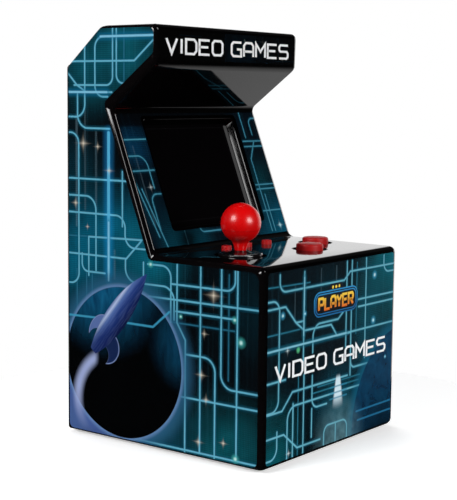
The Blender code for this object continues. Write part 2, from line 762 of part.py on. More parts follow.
def make_joystick():
    place = centred(FLAT_FRAME, *STICK_AT)
    top, skirt_top, skirt_foot = ROCKER_TOP, 65.6 * MM, 64.0 * MM
    bore = STUD_RADIUS + 0.15 * MM
    outside = [
        (bore, top + 0.1 * MM),
        (2.8 * MM, top + 0.1 * MM),
        (3.6 * MM, top - 0.35 * MM),
        (5.6 * MM, ROCKER_RIM - 0.1 * MM),
        *arc((ROCKER_RADIUS - 0.9 * MM, ROCKER_RIM - 0.9 * MM), 0.9 * MM, 100, 0, 3),
        (ROCKER_RADIUS, skirt_top),
        (SKIRT_RADIUS, skirt_top),
        (SKIRT_RADIUS, skirt_foot),
        (4.2 * MM, skirt_foot),
        (4.2 * MM, TILT_HEIGHT),
    ]
    socket = arc((0, TILT_HEIGHT), PIVOT_RADIUS + FIT_GAP, 0, 90, 3)
    inside = [(0, STUD_FOOT - 0.2 * MM), (bore, STUD_FOOT - 0.2 * MM)]
    # The socket closes on the axis, so the loop runs out of it and down the stud's bore as two separate pockets.
    rocker = turned("dpad_rocker", [*inside, *outside, *socket], place, GLOSS_BLACK, sides=28)
    ball = arc((0, TILT_HEIGHT), PIVOT_RADIUS, 90, -90, 6)
    ball[0], ball[-1] = (0, TILT_HEIGHT + PIVOT_RADIUS), (0, TILT_HEIGHT - PIVOT_RADIUS)
    pivot_ball = turned("stick_pivot_ball", ball, place, TIN, sides=12)
    foot = CONTROL_BOARD_TOP + SKIN_GAP
    cup = arc((0, TILT_HEIGHT), PIVOT_RADIUS + TOUCH_GAP, -90, -25, 3)
    cup[0] = (0, TILT_HEIGHT - PIVOT_RADIUS - TOUCH_GAP)
    post = [*cup, (3 * MM, cup[-1][1]), (3 * MM, foot), (0, foot)]
    turned("stick_pivot_cup", post, place, MATT_BLACK, sides=12)
    neck_top = math.degrees(math.asin(3.1 * MM / BALL_RADIUS)) - 90
    grip = arc((0, BALL_HEIGHT), BALL_RADIUS, 90, neck_top, 12)
    grip[0] = (0, BALL_HEIGHT + BALL_RADIUS)
    seat = ROCKER_TOP + 0.15 * MM
    stick = [
        *grip,
        (2.7 * MM, BALL_HEIGHT - BALL_RADIUS - 0.1 * MM),
        (2.3 * MM, seat + 1.0 * MM),
        (2.1 * MM, seat),
        (STUD_RADIUS, seat),
        (STUD_RADIUS, STUD_FOOT + 0.3 * MM),
        (STUD_RADIUS - 0.3 * MM, STUD_FOOT),
        (0, STUD_FOOT),
    ]
    ball_top = turned("joystick", stick, place, RED_GLOSS, sides=28)
    pivot("stick_tilt", at(*STICK_AT, TILT_HEIGHT), (rocker, pivot_ball, ball_top))


# ---------------------------------------------------------------- buttons
BUTTON_RADIUS = 5.0 * MM
BUTTON_STAND = 2.1 * MM
DISH_RADIUS = 6.8 * MM
SYSTEM_RADIUS = 1.9 * MM
SYSTEM_STAND = 1.5 * MM
FLANGE_GAP = 0.3 * MM
STEM_FOOT = 64.2 * MM


def button(name, place, radius, stand, flange, crown, finish, sides):
    """A push button: a crowned cap, a flange that stops it under the deck and a stem over its rubber dome."""
    level = deck_height(place[1])
    top = level + stand
    stop = level - WALL - FLANGE_GAP
    fillet = 0.14 * radius
    profile = [
        (0, top + crown),
        (0.5 * radius, top + 0.7 * crown),
        *arc((radius - fillet, top - fillet), fillet, 75, 0, 3),
        (radius, stop),
        (radius + flange, stop),
        (radius + flange, stop - 0.9 * MM),
        (0.45 * radius, stop - 0.9 * MM),
        (0.45 * radius, STEM_FOOT),
        (0, STEM_FOOT),
    ]
    turned(name, profile, centred(FLAT_FRAME, *place), finish, sides=sides)


def make_buttons():
    button("button_a", BUTTON_A_AT, BUTTON_RADIUS, BUTTON_STAND, 1.4 * MM, 0.25 * MM, RED_BUTTON, 24)
    button("button_b", BUTTON_B_AT, BUTTON_RADIUS, BUTTON_STAND, 1.4 * MM, 0.25 * MM, RED_BUTTON, 24)
    for index, name in enumerate(SYSTEM_BUTTONS):
        place = ((index - 1) * SYSTEM_PITCH, SYSTEM_ROW_DEPTH)
        button(name, place, SYSTEM_RADIUS, SYSTEM_STAND, 1.0 * MM, 0.15 * MM, RED_BUTTON, 12)


# ---------------------------------------------------------------- rubber membranes and control board
DOME_TOP = 62.5 * MM  # the domes are drawn pressed flat, so that the buttons have their travel
SHEET_THICK = 0.8 * MM


def membrane(name, area, domes, dome_radius, hole=None):
    """A silicone sheet on the control board, with a dome under each contact."""
    base = CONTROL_BOARD_TOP + SKIN_GAP
    outlines = [rounded(area, 1.5 * MM, 2)]
    if hole is not None:
        (x, y), radius = hole
        outlines.append([(x + radius * math.cos(a), y + radius * math.sin(a)) for a in circle_angles(16)])
    sheet = plate(name, outlines, SHEET_THICK, sunk(FLAT_FRAME, -(base + SHEET_THICK)), SILICONE)
    group = helper_group(f"{name}_domes")
    for index, (x, depth) in enumerate(domes):
        rod(
            f"{name}_dome_{index}",
            dome_radius,
            base + SHEET_THICK / 2,
            DOME_TOP,
            centred(FLAT_FRAME, x, depth),
            group=group,
            sides=10,
            top_radius=0.65 * dome_radius,
        )
    boolean(sheet, group, "UNION")


def circle_angles(count):
    return [math.tau * i / count for i in range(count)]


def make_membranes():
    x, y = STICK_AT
    reach = 7.4 * MM
    compass = [(x + reach, y), (x - reach, y), (x, y + reach), (x, y - reach)]
    membrane(
        "stick_membrane",
        rectangle(x - 13 * MM, x + 13 * MM, y - 13 * MM, y + 9.8 * MM),
        compass,
        2.4 * MM,
        ((x, y), 3.4 * MM),
    )
    membrane(
        "action_membrane", rectangle(4 * MM, 38 * MM, 11 * MM, 35.6 * MM), [BUTTON_A_AT, BUTTON_B_AT], 3.4 * MM
    )
    row = [((index - 1) * SYSTEM_PITCH, SYSTEM_ROW_DEPTH) for index in range(len(SYSTEM_BUTTONS))]
    membrane("system_membrane", rectangle(-17 * MM, 17 * MM, 36.3 * MM, 42.2 * MM), row, 2.0 * MM)


def holes_in(board, name, places, matrix, thickness):
    group = helper_group(f"{name}_holes")
    for x, y in places:
        rod(
            f"{name}_hole_{x * 1000:.0f}_{y * 1000:.0f}",
            1.3 * MM,
            -thickness - 1 * MM,
            1 * MM,
            centred(matrix, x, y),
            group=group,
            sides=8,
        )
    boolean(board, group, "DIFFERENCE")


def screw(name, matrix, length, head=2.1 * MM, sides=8):
    """A pan-head self-tapping screw.  The frame's face is the seat of its head, and its shank runs below it."""
    profile = [
        (0, 1.0 * MM),
        (0.6 * head, 1.0 * MM),
        (head, 0.45 * MM),
        (head, 0),
        (SHANK_RADIUS, 0),
        (SHANK_RADIUS, -length + 1 * MM),
        (0, -length),
    ]
    piece = turned(name, profile, matrix, STEEL, sides=sides)
    group = helper_group(f"{name}_recess")
    for turn in (0, 90):
        arm = Matrix.Rotation(math.radians(turn), 4, "Z")
        box(
            f"{name}_recess_{turn}",
            (-1.1 * MM, -0.25 * MM, 0.5 * MM),
            (1.1 * MM, 0.25 * MM, 2 * MM),
            group=group,
            matrix=matrix @ arm,
        )
    boolean(piece, group, "DIFFERENCE")


def make_control_board():
    area = rounded(rectangle(-38.5 * MM, 38.5 * MM, 3 * MM, 46.5 * MM), 1.5 * MM, 2)
    matrix = sunk(FLAT_FRAME, -CONTROL_BOARD_TOP)
    board = plate("control_board", [area], BOARD_THICK, matrix, CIRCUIT)
    holes_in(board, "control_board", control_posts(), matrix, BOARD_THICK)
    under = CONTROL_BOARD_TOP - BOARD_THICK - TOUCH_GAP
    low_left, _, _, high_right = control_posts()
    for name, (x, depth) in (("control_board_screw_left", low_left), ("control_board_screw_right", high_right)):
        flipped = frame(at(x, depth, under), AXIS_X, -AXIS_Y)
        screw(name, flipped, 6 * MM)


# ---------------------------------------------------------------- main board
def make_main_board():
    area = rounded(rectangle(-39 * MM, 39 * MM, 4.6 * MM, 51 * MM), 1.5 * MM, 2)
    matrix = sunk(PANEL_FRAME, MAIN_BOARD_DEPTH)
    board = plate("main_board", [area], BOARD_THICK, matrix, CIRCUIT)
    holes_in(board, "main_board", panel_posts(), matrix, BOARD_THICK)
    back = MAIN_BOARD_DEPTH + BOARD_THICK + TOUCH_GAP
    low_left, _, _, high_right = panel_posts()
    behind = sunk(PANEL_FRAME, back) @ Matrix.Rotation(math.pi, 4, "X")
    for name, (x, up) in (("main_board_screw_left", low_left), ("main_board_screw_right", high_right)):
        screw(name, centred(behind, x, -up), 6 * MM)
    blob = [(0, 1.7 * MM), (4 * MM, 1.5 * MM), (7 * MM, 0.9 * MM), (8.5 * MM, 0), (0, 0)]
    turned("game_chip", blob, centred(behind, -12 * MM, -36 * MM), EPOXY, sides=16)


def make_ribbons():
    """Flat cables: the display's, round the foot of the main board, and the control board's, up to it."""
    near, far = COLLAR_DEPTH + LCD_THICK + 2 * LENS_THICK, MAIN_BOARD_DEPTH + BOARD_THICK + 0.6 * MM
    middle, reach = (near + far) / 2, (far - near) / 2
    turn = [
        (2.6 * MM - reach * math.cos(math.radians(a)), -middle + reach * math.sin(math.radians(a)))
        for a in range(90, -91, -20)
    ]
    path = [(14 * MM, -near), *turn, (13 * MM, -far)]
    across = frame(PANEL_FRAME @ Vector((0, 0, 0)), PANEL_UP, PANEL_FRAME.col[2].xyz)
    half = 9 * MM
    plate("display_ribbon", [band(path, 0.3 * MM)], 2 * half, across @ Matrix.Translation((0, 0, half)), RIBBON)
    points = [(38, 58.9), (48, 58.9), (55, 59.6), (59.6, 63.0), (61.6, 68.0), (62.6, 72.4), (64.6, 77.5)]
    path = [(p.x, p.y) for p in smooth_path([(x * MM, y * MM) for x, y in points], 3)]
    right_edge = SIDE_FRAME @ Matrix.Translation((0, 0, 26 * MM))
    plate("control_ribbon", [band(path, 0.3 * MM)], 10 * MM, right_edge, RIBBON)


# ---------------------------------------------------------------- power board, switch and volume wheel
def make_power_board():
    area = rounded(rectangle(6 * MM, 38.5 * MM, 70 * MM, 85.8 * MM), 1.0 * MM, 2)
    plate("power_board", [area], BOARD_THICK, sunk(FLAT_FRAME, -POWER_BOARD_TOP), CIRCUIT)
    deck = POWER_BOARD_TOP + SKIN_GAP
    x, depth = WHEEL_AT
    turned(
        "volume_pot",
        [
            (0, deck + 1.9 * MM),
            (1.6 * MM, deck + 1.9 * MM),
            (1.6 * MM, deck + 1.2 * MM),
            (3.4 * MM, deck + 1.2 * MM),
            (3.4 * MM, deck),
            (0, deck),
        ],
        centred(FLAT_FRAME, *WHEEL_AT),
        MATT_BLACK,
        sides=16,
    )
    wheel_foot, wheel_top = POWER_BOARD_TOP + 2.2 * MM, POWER_BOARD_TOP + 4.6 * MM
    wheel = turned(
        "volume_wheel",
        [
            (0, wheel_top),
            (WHEEL_RADIUS - 0.3 * MM, wheel_top),
            (WHEEL_RADIUS, wheel_top - 0.3 * MM),
            (WHEEL_RADIUS, wheel_foot + 0.3 * MM),
            (WHEEL_RADIUS - 0.3 * MM, wheel_foot),
            (0, wheel_foot),
        ],
        centred(FLAT_FRAME, x, depth),
        MATT_BLACK,
        sides=20,
    )
    group = helper_group("volume_wheel_notches")
    for index, angle in enumerate(circle_angles(10)):
        place = centred(FLAT_FRAME, x, depth) @ Matrix.Rotation(angle, 4, "Z")
        rod(
            f"volume_wheel_notch_{index}",
            0.5 * MM,
            wheel_foot - 1 * MM,
            wheel_top + 1 * MM,
            centred(place, WHEEL_RADIUS + 0.1 * MM, 0),
            group=group,
            sides=6,
        )
    boolean(wheel, group, "DIFFERENCE")
    switch = box(
        "power_switch_body",
        at(SWITCH_X - 4.3 * MM, 81.6 * MM, deck),
        at(SWITCH_X + 4.3 * MM, 85.4 * MM, deck + 3.6 * MM),
        TIN,
    )
    slot_cut = box(
        "power_switch_slot",
        at(SWITCH_X - 3.4 * MM, 83.4 * MM, deck + 0.9 * MM),
        at(SWITCH_X + 3.4 * MM, 86.4 * MM, deck + 2.7 * MM),
        group=HELPERS,
    )
    boolean(switch, slot_cut, "DIFFERENCE")
    left = SWITCH_X - 1.7 * MM
    knob = box(
        "power_switch_knob",
        at(left - 1.2 * MM, 83.7 * MM, deck + 1.1 * MM),
        at(left + 1.2 * MM, COVER_FACE + 0.9 * MM, deck + 2.5 * MM),
        MATT_BLACK,
    )
    bevel(knob, 0.2 * MM, 1)


# ---------------------------------------------------------------- speaker
def speaker_frame():
    return frame(at(SPEAKER_AT[0], COVER_INSIDE - FIT_GAP, SPEAKER_AT[1]), AXIS_X, -AXIS_Z)


def make_speaker():
    place = speaker_frame()
    lip = 12.4 * MM
    basket = [
        (0, -3.4 * MM),
        (5.2 * MM, -3.2 * MM),
        (lip, -0.9 * MM),
        (lip, 0),
        (SPEAKER_RADIUS, 0),
        (SPEAKER_RADIUS, -1.2 * MM),
        (12.8 * MM, -1.4 * MM),
        (8.2 * MM, -3.6 * MM),
        (8.2 * MM, -6.2 * MM),
        (0, -6.2 * MM),
    ]
    turned("speaker_basket", basket, place, MATT_BLACK, sides=18)
    cone = [
        (0, -1.4 * MM),
        (2.6 * MM, -1.7 * MM),
        (4.2 * MM, -2.6 * MM),
        (10.4 * MM, -0.7 * MM),
        (11.4 * MM, -0.3 * MM),
        (12.1 * MM, -0.5 * MM),
        (12.1 * MM, -0.7 * MM),
        (10.4 * MM, -1.1 * MM),
        (4.6 * MM, -2.95 * MM),
        (0, -2.95 * MM),
    ]
    turned("speaker_cone", cone, place, PAPER_CONE, sides=18)


# ---------------------------------------------------------------- rear cover
def make_rear_cover():
    half = WIDTH / 2 - WALL - FIT_GAP
    low, high = FOOT_STAND + WALL + FIT_GAP, 134.0 * MM
    outer = FRONT_FRAME @ Matrix.Translation((0, 0, -COVER_INSIDE))
    edge = rounded(rectangle(-half, half, low, high), 0.8 * MM, 2)
    cover = plate("rear_cover", [edge], COVER_THICK, outer, MATT_BLACK)
    group = helper_group("rear_cover_cuts")
    over = 2 * MM
    outside = FRONT_FRAME @ Matrix.Translation((0, 0, -COVER_INSIDE + over))
    through = COVER_THICK + 2 * over
    door = rounded(
        rectangle(-DOOR_HALF - FIT_GAP, DOOR_HALF + FIT_GAP, DOOR_LOW - FIT_GAP, DOOR_HIGH + FIT_GAP), 1.0 * MM, 2
    )
    plate("door_opening", [door], through, outside, group=group)
    wheel_x, wheel_depth = WHEEL_AT
    chord = math.sqrt(WHEEL_RADIUS**2 - (COVER_INSIDE - wheel_depth) ** 2) + 0.5 * MM
    wheel_foot, wheel_top = POWER_BOARD_TOP + 1.8 * MM, POWER_BOARD_TOP + 5.0 * MM
    window = rounded(rectangle(wheel_x - chord, wheel_x + chord, wheel_foot, wheel_top), 0.5 * MM, 1)
    plate("wheel_window", [window], through, outside, group=group)
    switch_foot = POWER_BOARD_TOP + 0.9 * MM
    window = rounded(
        rectangle(SWITCH_X - 3.3 * MM, SWITCH_X + 3.3 * MM, switch_foot, switch_foot + 1.9 * MM), 0.3 * MM, 1
    )
    plate("switch_window", [window], through, outside, group=group)
    rows = 7
    for row in range(rows):
        rise = (row - (rows - 1) / 2) * 3.5 * MM
        length = 2 * math.sqrt((11.8 * MM) ** 2 - rise**2)
        drawing = slot((SPEAKER_AT[0], SPEAKER_AT[1] + rise), length, 1.5 * MM, 2)
        plate(f"grille_slot_{row}", [drawing], through, outside, group=group)
    for x, z in screw_places():
        place = frame(at(x, COVER_FACE, z), AXIS_X, -AXIS_Z)
        tag = f"{x * 1000:.0f}_{z * 1000:.0f}"
        rod(f"cover_hole_{tag}", 1.4 * MM, -COVER_THICK - over, over, place, group=group, sides=8)
        rod(f"cover_counterbore_{tag}", 2.7 * MM, -1.2 * MM, over, place, group=group, sides=12)
    boolean(cover, group, "DIFFERENCE")
    for index, (x, z) in enumerate(screw_places(), 1):
        place = frame(at(x, COVER_FACE - 1.1 * MM, z), AXIS_X, -AXIS_Z)
        screw(f"rear_screw_{index}", place, 8.5 * MM)


# ---------------------------------------------------------------- battery tray, door, cells and contacts
def make_battery_tray():
    mouth = COVER_INSIDE - TOUCH_GAP
    outer = TRAY_HALF + TRAY_WALL
    tray = box(
        "battery_tray",
        at(-outer, TRAY_FLOOR - TRAY_WALL, TRAY_LOW - TRAY_WALL),
        at(outer, mouth, TRAY_HIGH + TRAY_WALL),
        MATT_BLACK,
    )
    flange = helper_group("tray_flange")
    rim = 3.4 * MM
    for name, low, high in (
        ("left", (-outer - rim, TRAY_LOW), (-outer + TRAY_WALL / 2, TRAY_HIGH + rim)),
        ("right", (outer - TRAY_WALL / 2, TRAY_LOW), (outer + rim, TRAY_HIGH + rim)),
        ("top", (-outer - rim, TRAY_HIGH + TRAY_WALL / 2), (outer + rim, TRAY_HIGH + rim)),
    ):
        box(
            f"tray_flange_{name}",
            at(low[0], mouth - TRAY_WALL, low[1]),
            at(high[0], mouth, high[1]),
            group=flange,
        )
    boolean(tray, flange, "UNION")
    cuts = helper_group("tray_cuts")
    box(
        "tray_hollow",
        at(-TRAY_HALF, TRAY_FLOOR, TRAY_LOW),
        at(TRAY_HALF, mouth + 2 * MM, TRAY_HIGH),
        group=cuts,
    )
    for side in (-1, 1):
        box(
            f"hook_notch_{side}",
            at(side * DOOR_HOOK_X - 4.2 * MM, mouth - 4.2 * MM, TRAY_LOW - 3 * MM),
            at(side * DOOR_HOOK_X + 4.2 * MM, mouth + 2 * MM, TRAY_LOW + 1 * MM),
            group=cuts,
        )
    boolean(tray, cuts, "DIFFERENCE")


def make_battery_door():
    """The door hangs on two hooks at its foot and is held shut by a tongue at its top."""
    inside = COVER_FACE - DOOR_THICK
    outer = FRONT_FRAME @ Matrix.Translation((0, 0, -inside))
    edge = rounded(rectangle(-DOOR_HALF, DOOR_HALF, DOOR_LOW, DOOR_HIGH), 0.9 * MM, 2)
    door = plate("battery_door", [edge], DOOR_THICK, outer, MATT_BLACK)
    extra = helper_group("door_additions")
    for side in (-1, 1):
        middle = side * DOOR_HOOK_X
        box(
            f"door_hook_neck_{side}",
            at(middle - 3 * MM, inside - 1.5 * MM, DOOR_LOW + 0.1 * MM),
            at(middle + 3 * MM, inside + 0.5 * MM, DOOR_LOW + 1.1 * MM),
            group=extra,
        )
        box(
            f"door_hook_tip_{side}",
            at(middle - 3 * MM, inside - 1.6 * MM, DOOR_LOW - 1.5 * MM),
            at(middle + 3 * MM, inside - 0.6 * MM, DOOR_LOW + 1.1 * MM),
            group=extra,
        )
    box(
        "door_tongue",
        at(-4 * MM, inside - 2.6 * MM, TRAY_HIGH - 1.4 * MM),
        at(4 * MM, inside + 0.5 * MM, TRAY_HIGH - 0.4 * MM),
        group=extra,
    )
    boolean(door, extra, "UNION")
    grip = helper_group("door_grip_cuts")
    for row in range(4):
        z = DOOR_HIGH - (4 + 2.6 * row) * MM
        length = (18 - 3 * row) * MM
        sunk_by = 0.6 * MM
        outside = FRONT_FRAME @ Matrix.Translation((0, 0, -(COVER_FACE - sunk_by)))
        plate(f"grip_groove_{row}", [slot((0, z), length, 1.3 * MM, 2)], 2 * MM, outside, group=grip)
    boolean(door, grip, "DIFFERENCE")
    pivot("battery_door_hinge", at(0, *DOOR_HINGE), [door])


def cell_places():
    """(x, z of the case's middle, whether its plus end is up) of each cell."""
    middle = (TRAY_LOW + TRAY_HIGH) / 2
    shift = 2.2 * MM  # towards the flat contact, away from the spring
    return [(index * CELL_PITCH, middle + (shift if up else -shift), up) for index, up in ((-1, True), (0, False), (1, True))]


def make_batteries():
    case = CELL_LENGTH - 1.2 * MM
    for number, (x, z, up) in enumerate(cell_places(), 1):
        place = frame(at(x, CELL_DEPTH, z), AXIS_X, AXIS_Y if up else -AXIS_Y)
        top = CELL_LENGTH / 2
        profile = [
            (0, top),
            (2.6 * MM, top),
            (2.75 * MM, top - 1.2 * MM),
            (CELL_RADIUS - 0.5 * MM, top - 1.2 * MM),
            (CELL_RADIUS, top - 1.7 * MM),
            (CELL_RADIUS, top - case - 1.2 * MM + 0.4 * MM),
            (CELL_RADIUS - 0.4 * MM, top - case - 1.2 * MM),
            (0, top - case - 1.2 * MM),
        ]
        turned(f"battery_{number}", profile, place, CELL_WRAP, sides=16)


def make_contacts():
    """A coil spring presses on each cell's flat end, and a sprung plate touches its other end."""
    for number, (x, z, up) in enumerate(cell_places(), 1):
        sense = 1 if up else -1
        plus_end = z + sense * CELL_LENGTH / 2
        flat_end = z - sense * CELL_LENGTH / 2
        wall_plus = TRAY_HIGH if up else TRAY_LOW
        wall_flat = TRAY_LOW if up else TRAY_HIGH
        near, far = sorted((plus_end + sense * TOUCH_GAP, wall_plus - sense * TOUCH_GAP))
        plate_piece = box(
            f"contact_plate_{number}",
            at(x - 5 * MM, CELL_DEPTH - 5 * MM, near),
            at(x + 5 * MM, CELL_DEPTH + 4.5 * MM, far),
            TIN,
        )
        bevel(plate_piece, 0.3 * MM, 1)
        wire_radius = 0.35 * MM
        start = wall_flat + sense * (wire_radius + TOUCH_GAP)
        end = flat_end - sense * (wire_radius + TOUCH_GAP)
        turns, per_turn = 3, 8
        count = int(turns * per_turn)
        coil = []
        for i in range(count + 1):
            share = i / count
            radius = (4.6 - 2.0 * share) * MM
            angle = math.tau * turns * share
            coil.append(at(x + radius * math.cos(angle), CELL_DEPTH + radius * math.sin(angle), start + (end - start) * share))
        wire(f"contact_spring_{number}", coil, wire_radius, TIN)


def make_leads():
    """Thin wires from the speaker to the main board and from the battery tray to the power board."""
    speaker = [(10.5, 79.0, 99), (13, 77.8, 96), (14.5, 76, 93.5), (14, 74.4, 92.4), (12, 73.4, 92.6)]
    battery = [(-23, 69.4, 60), (-23.4, 67.6, 66), (-18, 67.4, 71), (-6, 69.4, 74.4), (3, 72.6, 77.4), (8.4, 75, 77.6)]
    for name, points in (("speaker_lead", speaker), ("battery_lead", battery)):
        wire(name, smooth_path([at(x * MM, d * MM, z * MM) for x, d, z in points]), 0.6 * MM, LEAD, resolution=1)


make_housing()
make_stickers()
make_feet()
make_screen()
make_joystick()
make_buttons()
make_membranes()
make_control_board()
make_main_board()
make_ribbons()
make_power_board()
make_speaker()
make_rear_cover()
make_battery_tray()
make_battery_door()
make_batteries()
make_contacts()
make_leads()
print(len(CABINET.objects), "pieces")
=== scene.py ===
# %% [markdown]
# # A palm-size arcade cabinet
#
# The real object is one glossy black moulding about 150 mm tall, with printed stickers on its flat faces, a red
# ball-top stick, red buttons and a small black screen.  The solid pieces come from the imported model, so this lesson is
# about their finishes: what each piece is made of, how that was made, and what the eye gets from it.

# %% Load the model
import math

import bmesh
import bpy
from mathutils import Matrix, Vector


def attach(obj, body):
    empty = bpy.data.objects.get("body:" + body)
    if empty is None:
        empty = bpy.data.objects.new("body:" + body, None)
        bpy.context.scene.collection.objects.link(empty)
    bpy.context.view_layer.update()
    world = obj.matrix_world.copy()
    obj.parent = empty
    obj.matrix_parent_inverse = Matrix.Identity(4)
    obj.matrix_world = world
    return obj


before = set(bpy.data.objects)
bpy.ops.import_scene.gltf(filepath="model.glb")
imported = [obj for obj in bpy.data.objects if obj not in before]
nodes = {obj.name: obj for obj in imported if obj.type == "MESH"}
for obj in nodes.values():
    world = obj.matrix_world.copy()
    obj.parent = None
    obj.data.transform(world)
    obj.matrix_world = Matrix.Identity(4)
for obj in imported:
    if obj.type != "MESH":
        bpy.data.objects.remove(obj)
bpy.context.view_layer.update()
MM = 0.001
DEPTH = 90.0  # mm, front face to back edge

# %% [markdown]
# ## Colour and nodes
#
# Colours are written as the hex values that a colour picker shows, and one function turns them into the linear values
# that the shader works in.  One more function adds a node with its settings and its links, which keeps a long node
# tree readable as a list of steps.


# %% Helpers for colour and nodes
def linear_colour(hex_colour):
    def channel(value):
        value /= 255
        return value / 12.92 if value <= 0.04045 else ((value + 0.055) / 1.055) ** 2.4

    return (*(channel(int(hex_colour[i : i + 2], 16)) for i in (1, 3, 5)), 1.0)


def set_inputs(tree, node, values):
    """Each input gets a value, a hex colour or a link.  A node stands for its first output in use."""
    for name, value in values.items():
        if isinstance(value, bpy.types.Node):
            value = next(output for output in value.outputs if output.enabled)
        if isinstance(value, bpy.types.NodeSocket):
            tree.links.new(value, node.inputs[name])
        else:
            node.inputs[name].default_value = linear_colour(value) if isinstance(value, str) else value


def add_node(tree, kind, values=None, **settings):
    """A node of that kind, with its settings and its inputs."""
    node = tree.nodes.new(kind)
    for name, value in settings.items():
        setattr(node, name, value)
    set_inputs(tree, node, values or {})
    return node


def start_material(name, colour="#808080", roughness=0.5, metallic=0.0, ior=1.5):
    """A new material, with its tree, its shader and the place of a point on the piece."""
    made = bpy.data.materials.new(name)
    made.use_nodes = True
    tree = made.node_tree
    shader = tree.nodes["Principled BSDF"]
    set_inputs(tree, shader, {"Base Color": colour, "Roughness": roughness, "Metallic": metallic, "IOR": ior})
    place = add_node(tree, "ShaderNodeTexCoord").outputs["Object"]
    return made, tree, shader, place


def finish_with(made, *names):
    """Gives pieces of the model a material."""
    for name in names:
        piece = nodes[name]
        piece.data.materials.clear()
        piece.data.materials.append(made)


print("mid grey in linear light:", round(linear_colour("#808080")[0], 3))

# %% [markdown]
# The solid pieces come as small flat facets, but a moulded edge is round and must mirror the lamps as one unbroken
# line.  Two modifiers do this without moving a point.  The first joins the facets and keeps an edge sharp only where
# it turns by more than 33 degrees.  The second lets large faces decide the shading, so flat walls stay flat.

# %% Rounded shading
rounding = bpy.data.node_groups.new("rounded_shading", "GeometryNodeTree")
rounding.interface.new_socket("Geometry", in_out="INPUT", socket_type="NodeSocketGeometry")
rounding.interface.new_socket("Geometry", in_out="OUTPUT", socket_type="NodeSocketGeometry")
facets = add_node(rounding, "NodeGroupInput").outputs[0]
joined = add_node(rounding, "GeometryNodeMergeByDistance", {"Geometry": facets, "Distance": 0.005 * MM}).outputs[0]
turn_angle = add_node(rounding, "GeometryNodeInputMeshEdgeAngle").outputs["Unsigned Angle"]
sharp = add_node(
    rounding,
    "FunctionNodeCompare",
    {"A": turn_angle, "B": math.radians(33)},
    data_type="FLOAT",
    operation="GREATER_THAN",
).outputs[0]
shaded = add_node(
    rounding,
    "GeometryNodeSetMeshNormal",
    {"Mesh": joined, "Remove Custom": True, "Edge Sharpness": sharp, "Face Sharpness": False},
    mode="SHARPNESS",
).outputs[0]
add_node(rounding, "NodeGroupOutput", {0: shaded})
for piece in nodes.values():
    piece.modifiers.new("rounded_shading", "NODES").node_group = rounding
    weighted = piece.modifiers.new("flat_walls", "WEIGHTED_NORMAL")
    weighted.mode = "FACE_AREA_WITH_ANGLE"
    weighted.keep_sharp = True
print("rounded shading on", len(nodes), "pieces")

# %% [markdown]
# ## The camera
#
# It stands to the left and a little above the deck, far enough back that the cabinet's edges nearly stay parallel.
# A small object is best seen like this through a long lens, and the lens shift only centres it.

# %% Camera
AZIMUTH, ELEVATION, ROLL = (math.radians(a) for a in (-52.28, 6.81, 0.54))
backwards = Vector(
    (math.sin(AZIMUTH) * math.cos(ELEVATION), -math.cos(AZIMUTH) * math.cos(ELEVATION), math.sin(ELEVATION))
)
level = Vector((math.cos(AZIMUTH), math.sin(AZIMUTH), 0))
upwards = backwards.cross(level)
right_hand = level * math.cos(ROLL) + upwards * math.sin(ROLL)
camera_data = bpy.data.cameras.new("camera")
camera_data.lens = 92.99
camera_data.sensor_width = 36.0
camera_data.shift_x, camera_data.shift_y = 0.0205, 0.0006
camera = bpy.data.objects.new("camera", camera_data)
bpy.context.scene.collection.objects.link(camera)
turn = Matrix((right_hand, backwards.cross(right_hand), backwards)).transposed()
camera.matrix_world = Matrix.Translation(Vector((-383.7, -289.2, 125.4)) * MM) @ turn.to_4x4()
bpy.context.scene.camera = camera
bpy.context.scene.view_settings.view_transform = "Standard"
print("camera", [round(v, 3) for v in camera.location])

# %% [markdown]
# ## Light and floor
#
# Gloss black shows almost nothing but what it mirrors.  So the studio is planned from its reflections: a white
# backdrop behind the cabinet, which the deck and the canopy mirror; darkness beside the camera, which keeps the side
# and the front deep in colour; and two soft boxes, which draw the two soft lights on the ball.  A third one overhead
# only fills the shadows.  A flag keeps the right soft box off the header and the black shell, which would mirror it
# as a hard white patch.


# %% Soft boxes
def soft_box(name, direction, distance, size, strength):
    """A round lamp in a direction from the middle of the cabinet.  strength is the radiance of its face."""
    lamp = bpy.data.lights.new(name, "AREA")
    lamp.shape = "DISK"
    lamp.size = size
    lamp.energy = strength * math.pi**2 * size**2 / 4
    lit = bpy.data.objects.new(name, lamp)
    bpy.context.scene.collection.objects.link(lit)
    direction = Vector(direction).normalized()
    lit.location = Vector((0, 0, 0.07)) + direction * distance
    lit.rotation_euler = direction.to_track_quat("Z", "Y").to_euler()
    print(name, [round(v, 2) for v in lit.location])
    return lit


soft_box("left_soft_box", (-0.867, 0.135, 0.475), 0.55, 0.25, 14.0)
right = soft_box("right_soft_box", (-0.044, -0.952, 0.302), 0.55, 0.25, 14.0)
top = soft_box("top_soft_box", (0.35, 0.45, 1.0), 0.7, 0.5, 3.0)
top.visible_glossy = False
flagged = bpy.data.collections.new("flagged_off")
for name in ("marquee_sticker", "front_housing"):
    flagged.objects.link(nodes[name])
for member in flagged.collection_objects:
    member.light_linking.link_state = "EXCLUDE"
right.light_linking.receiver_collection = flagged

# %% [markdown]
# A round lamp leaves only a short spark on a long rounded edge.  Two slim strip lamps stand along the slope of the
# screen panel, so each gives the whole edge one thin line of light.  They are linked to the housing alone, and a third
# lamp to the stick's rocker alone, where it draws the bright ring along the rim.


# %% Strip lamps
SLOPE = Vector((0, 0.364, 0.931))


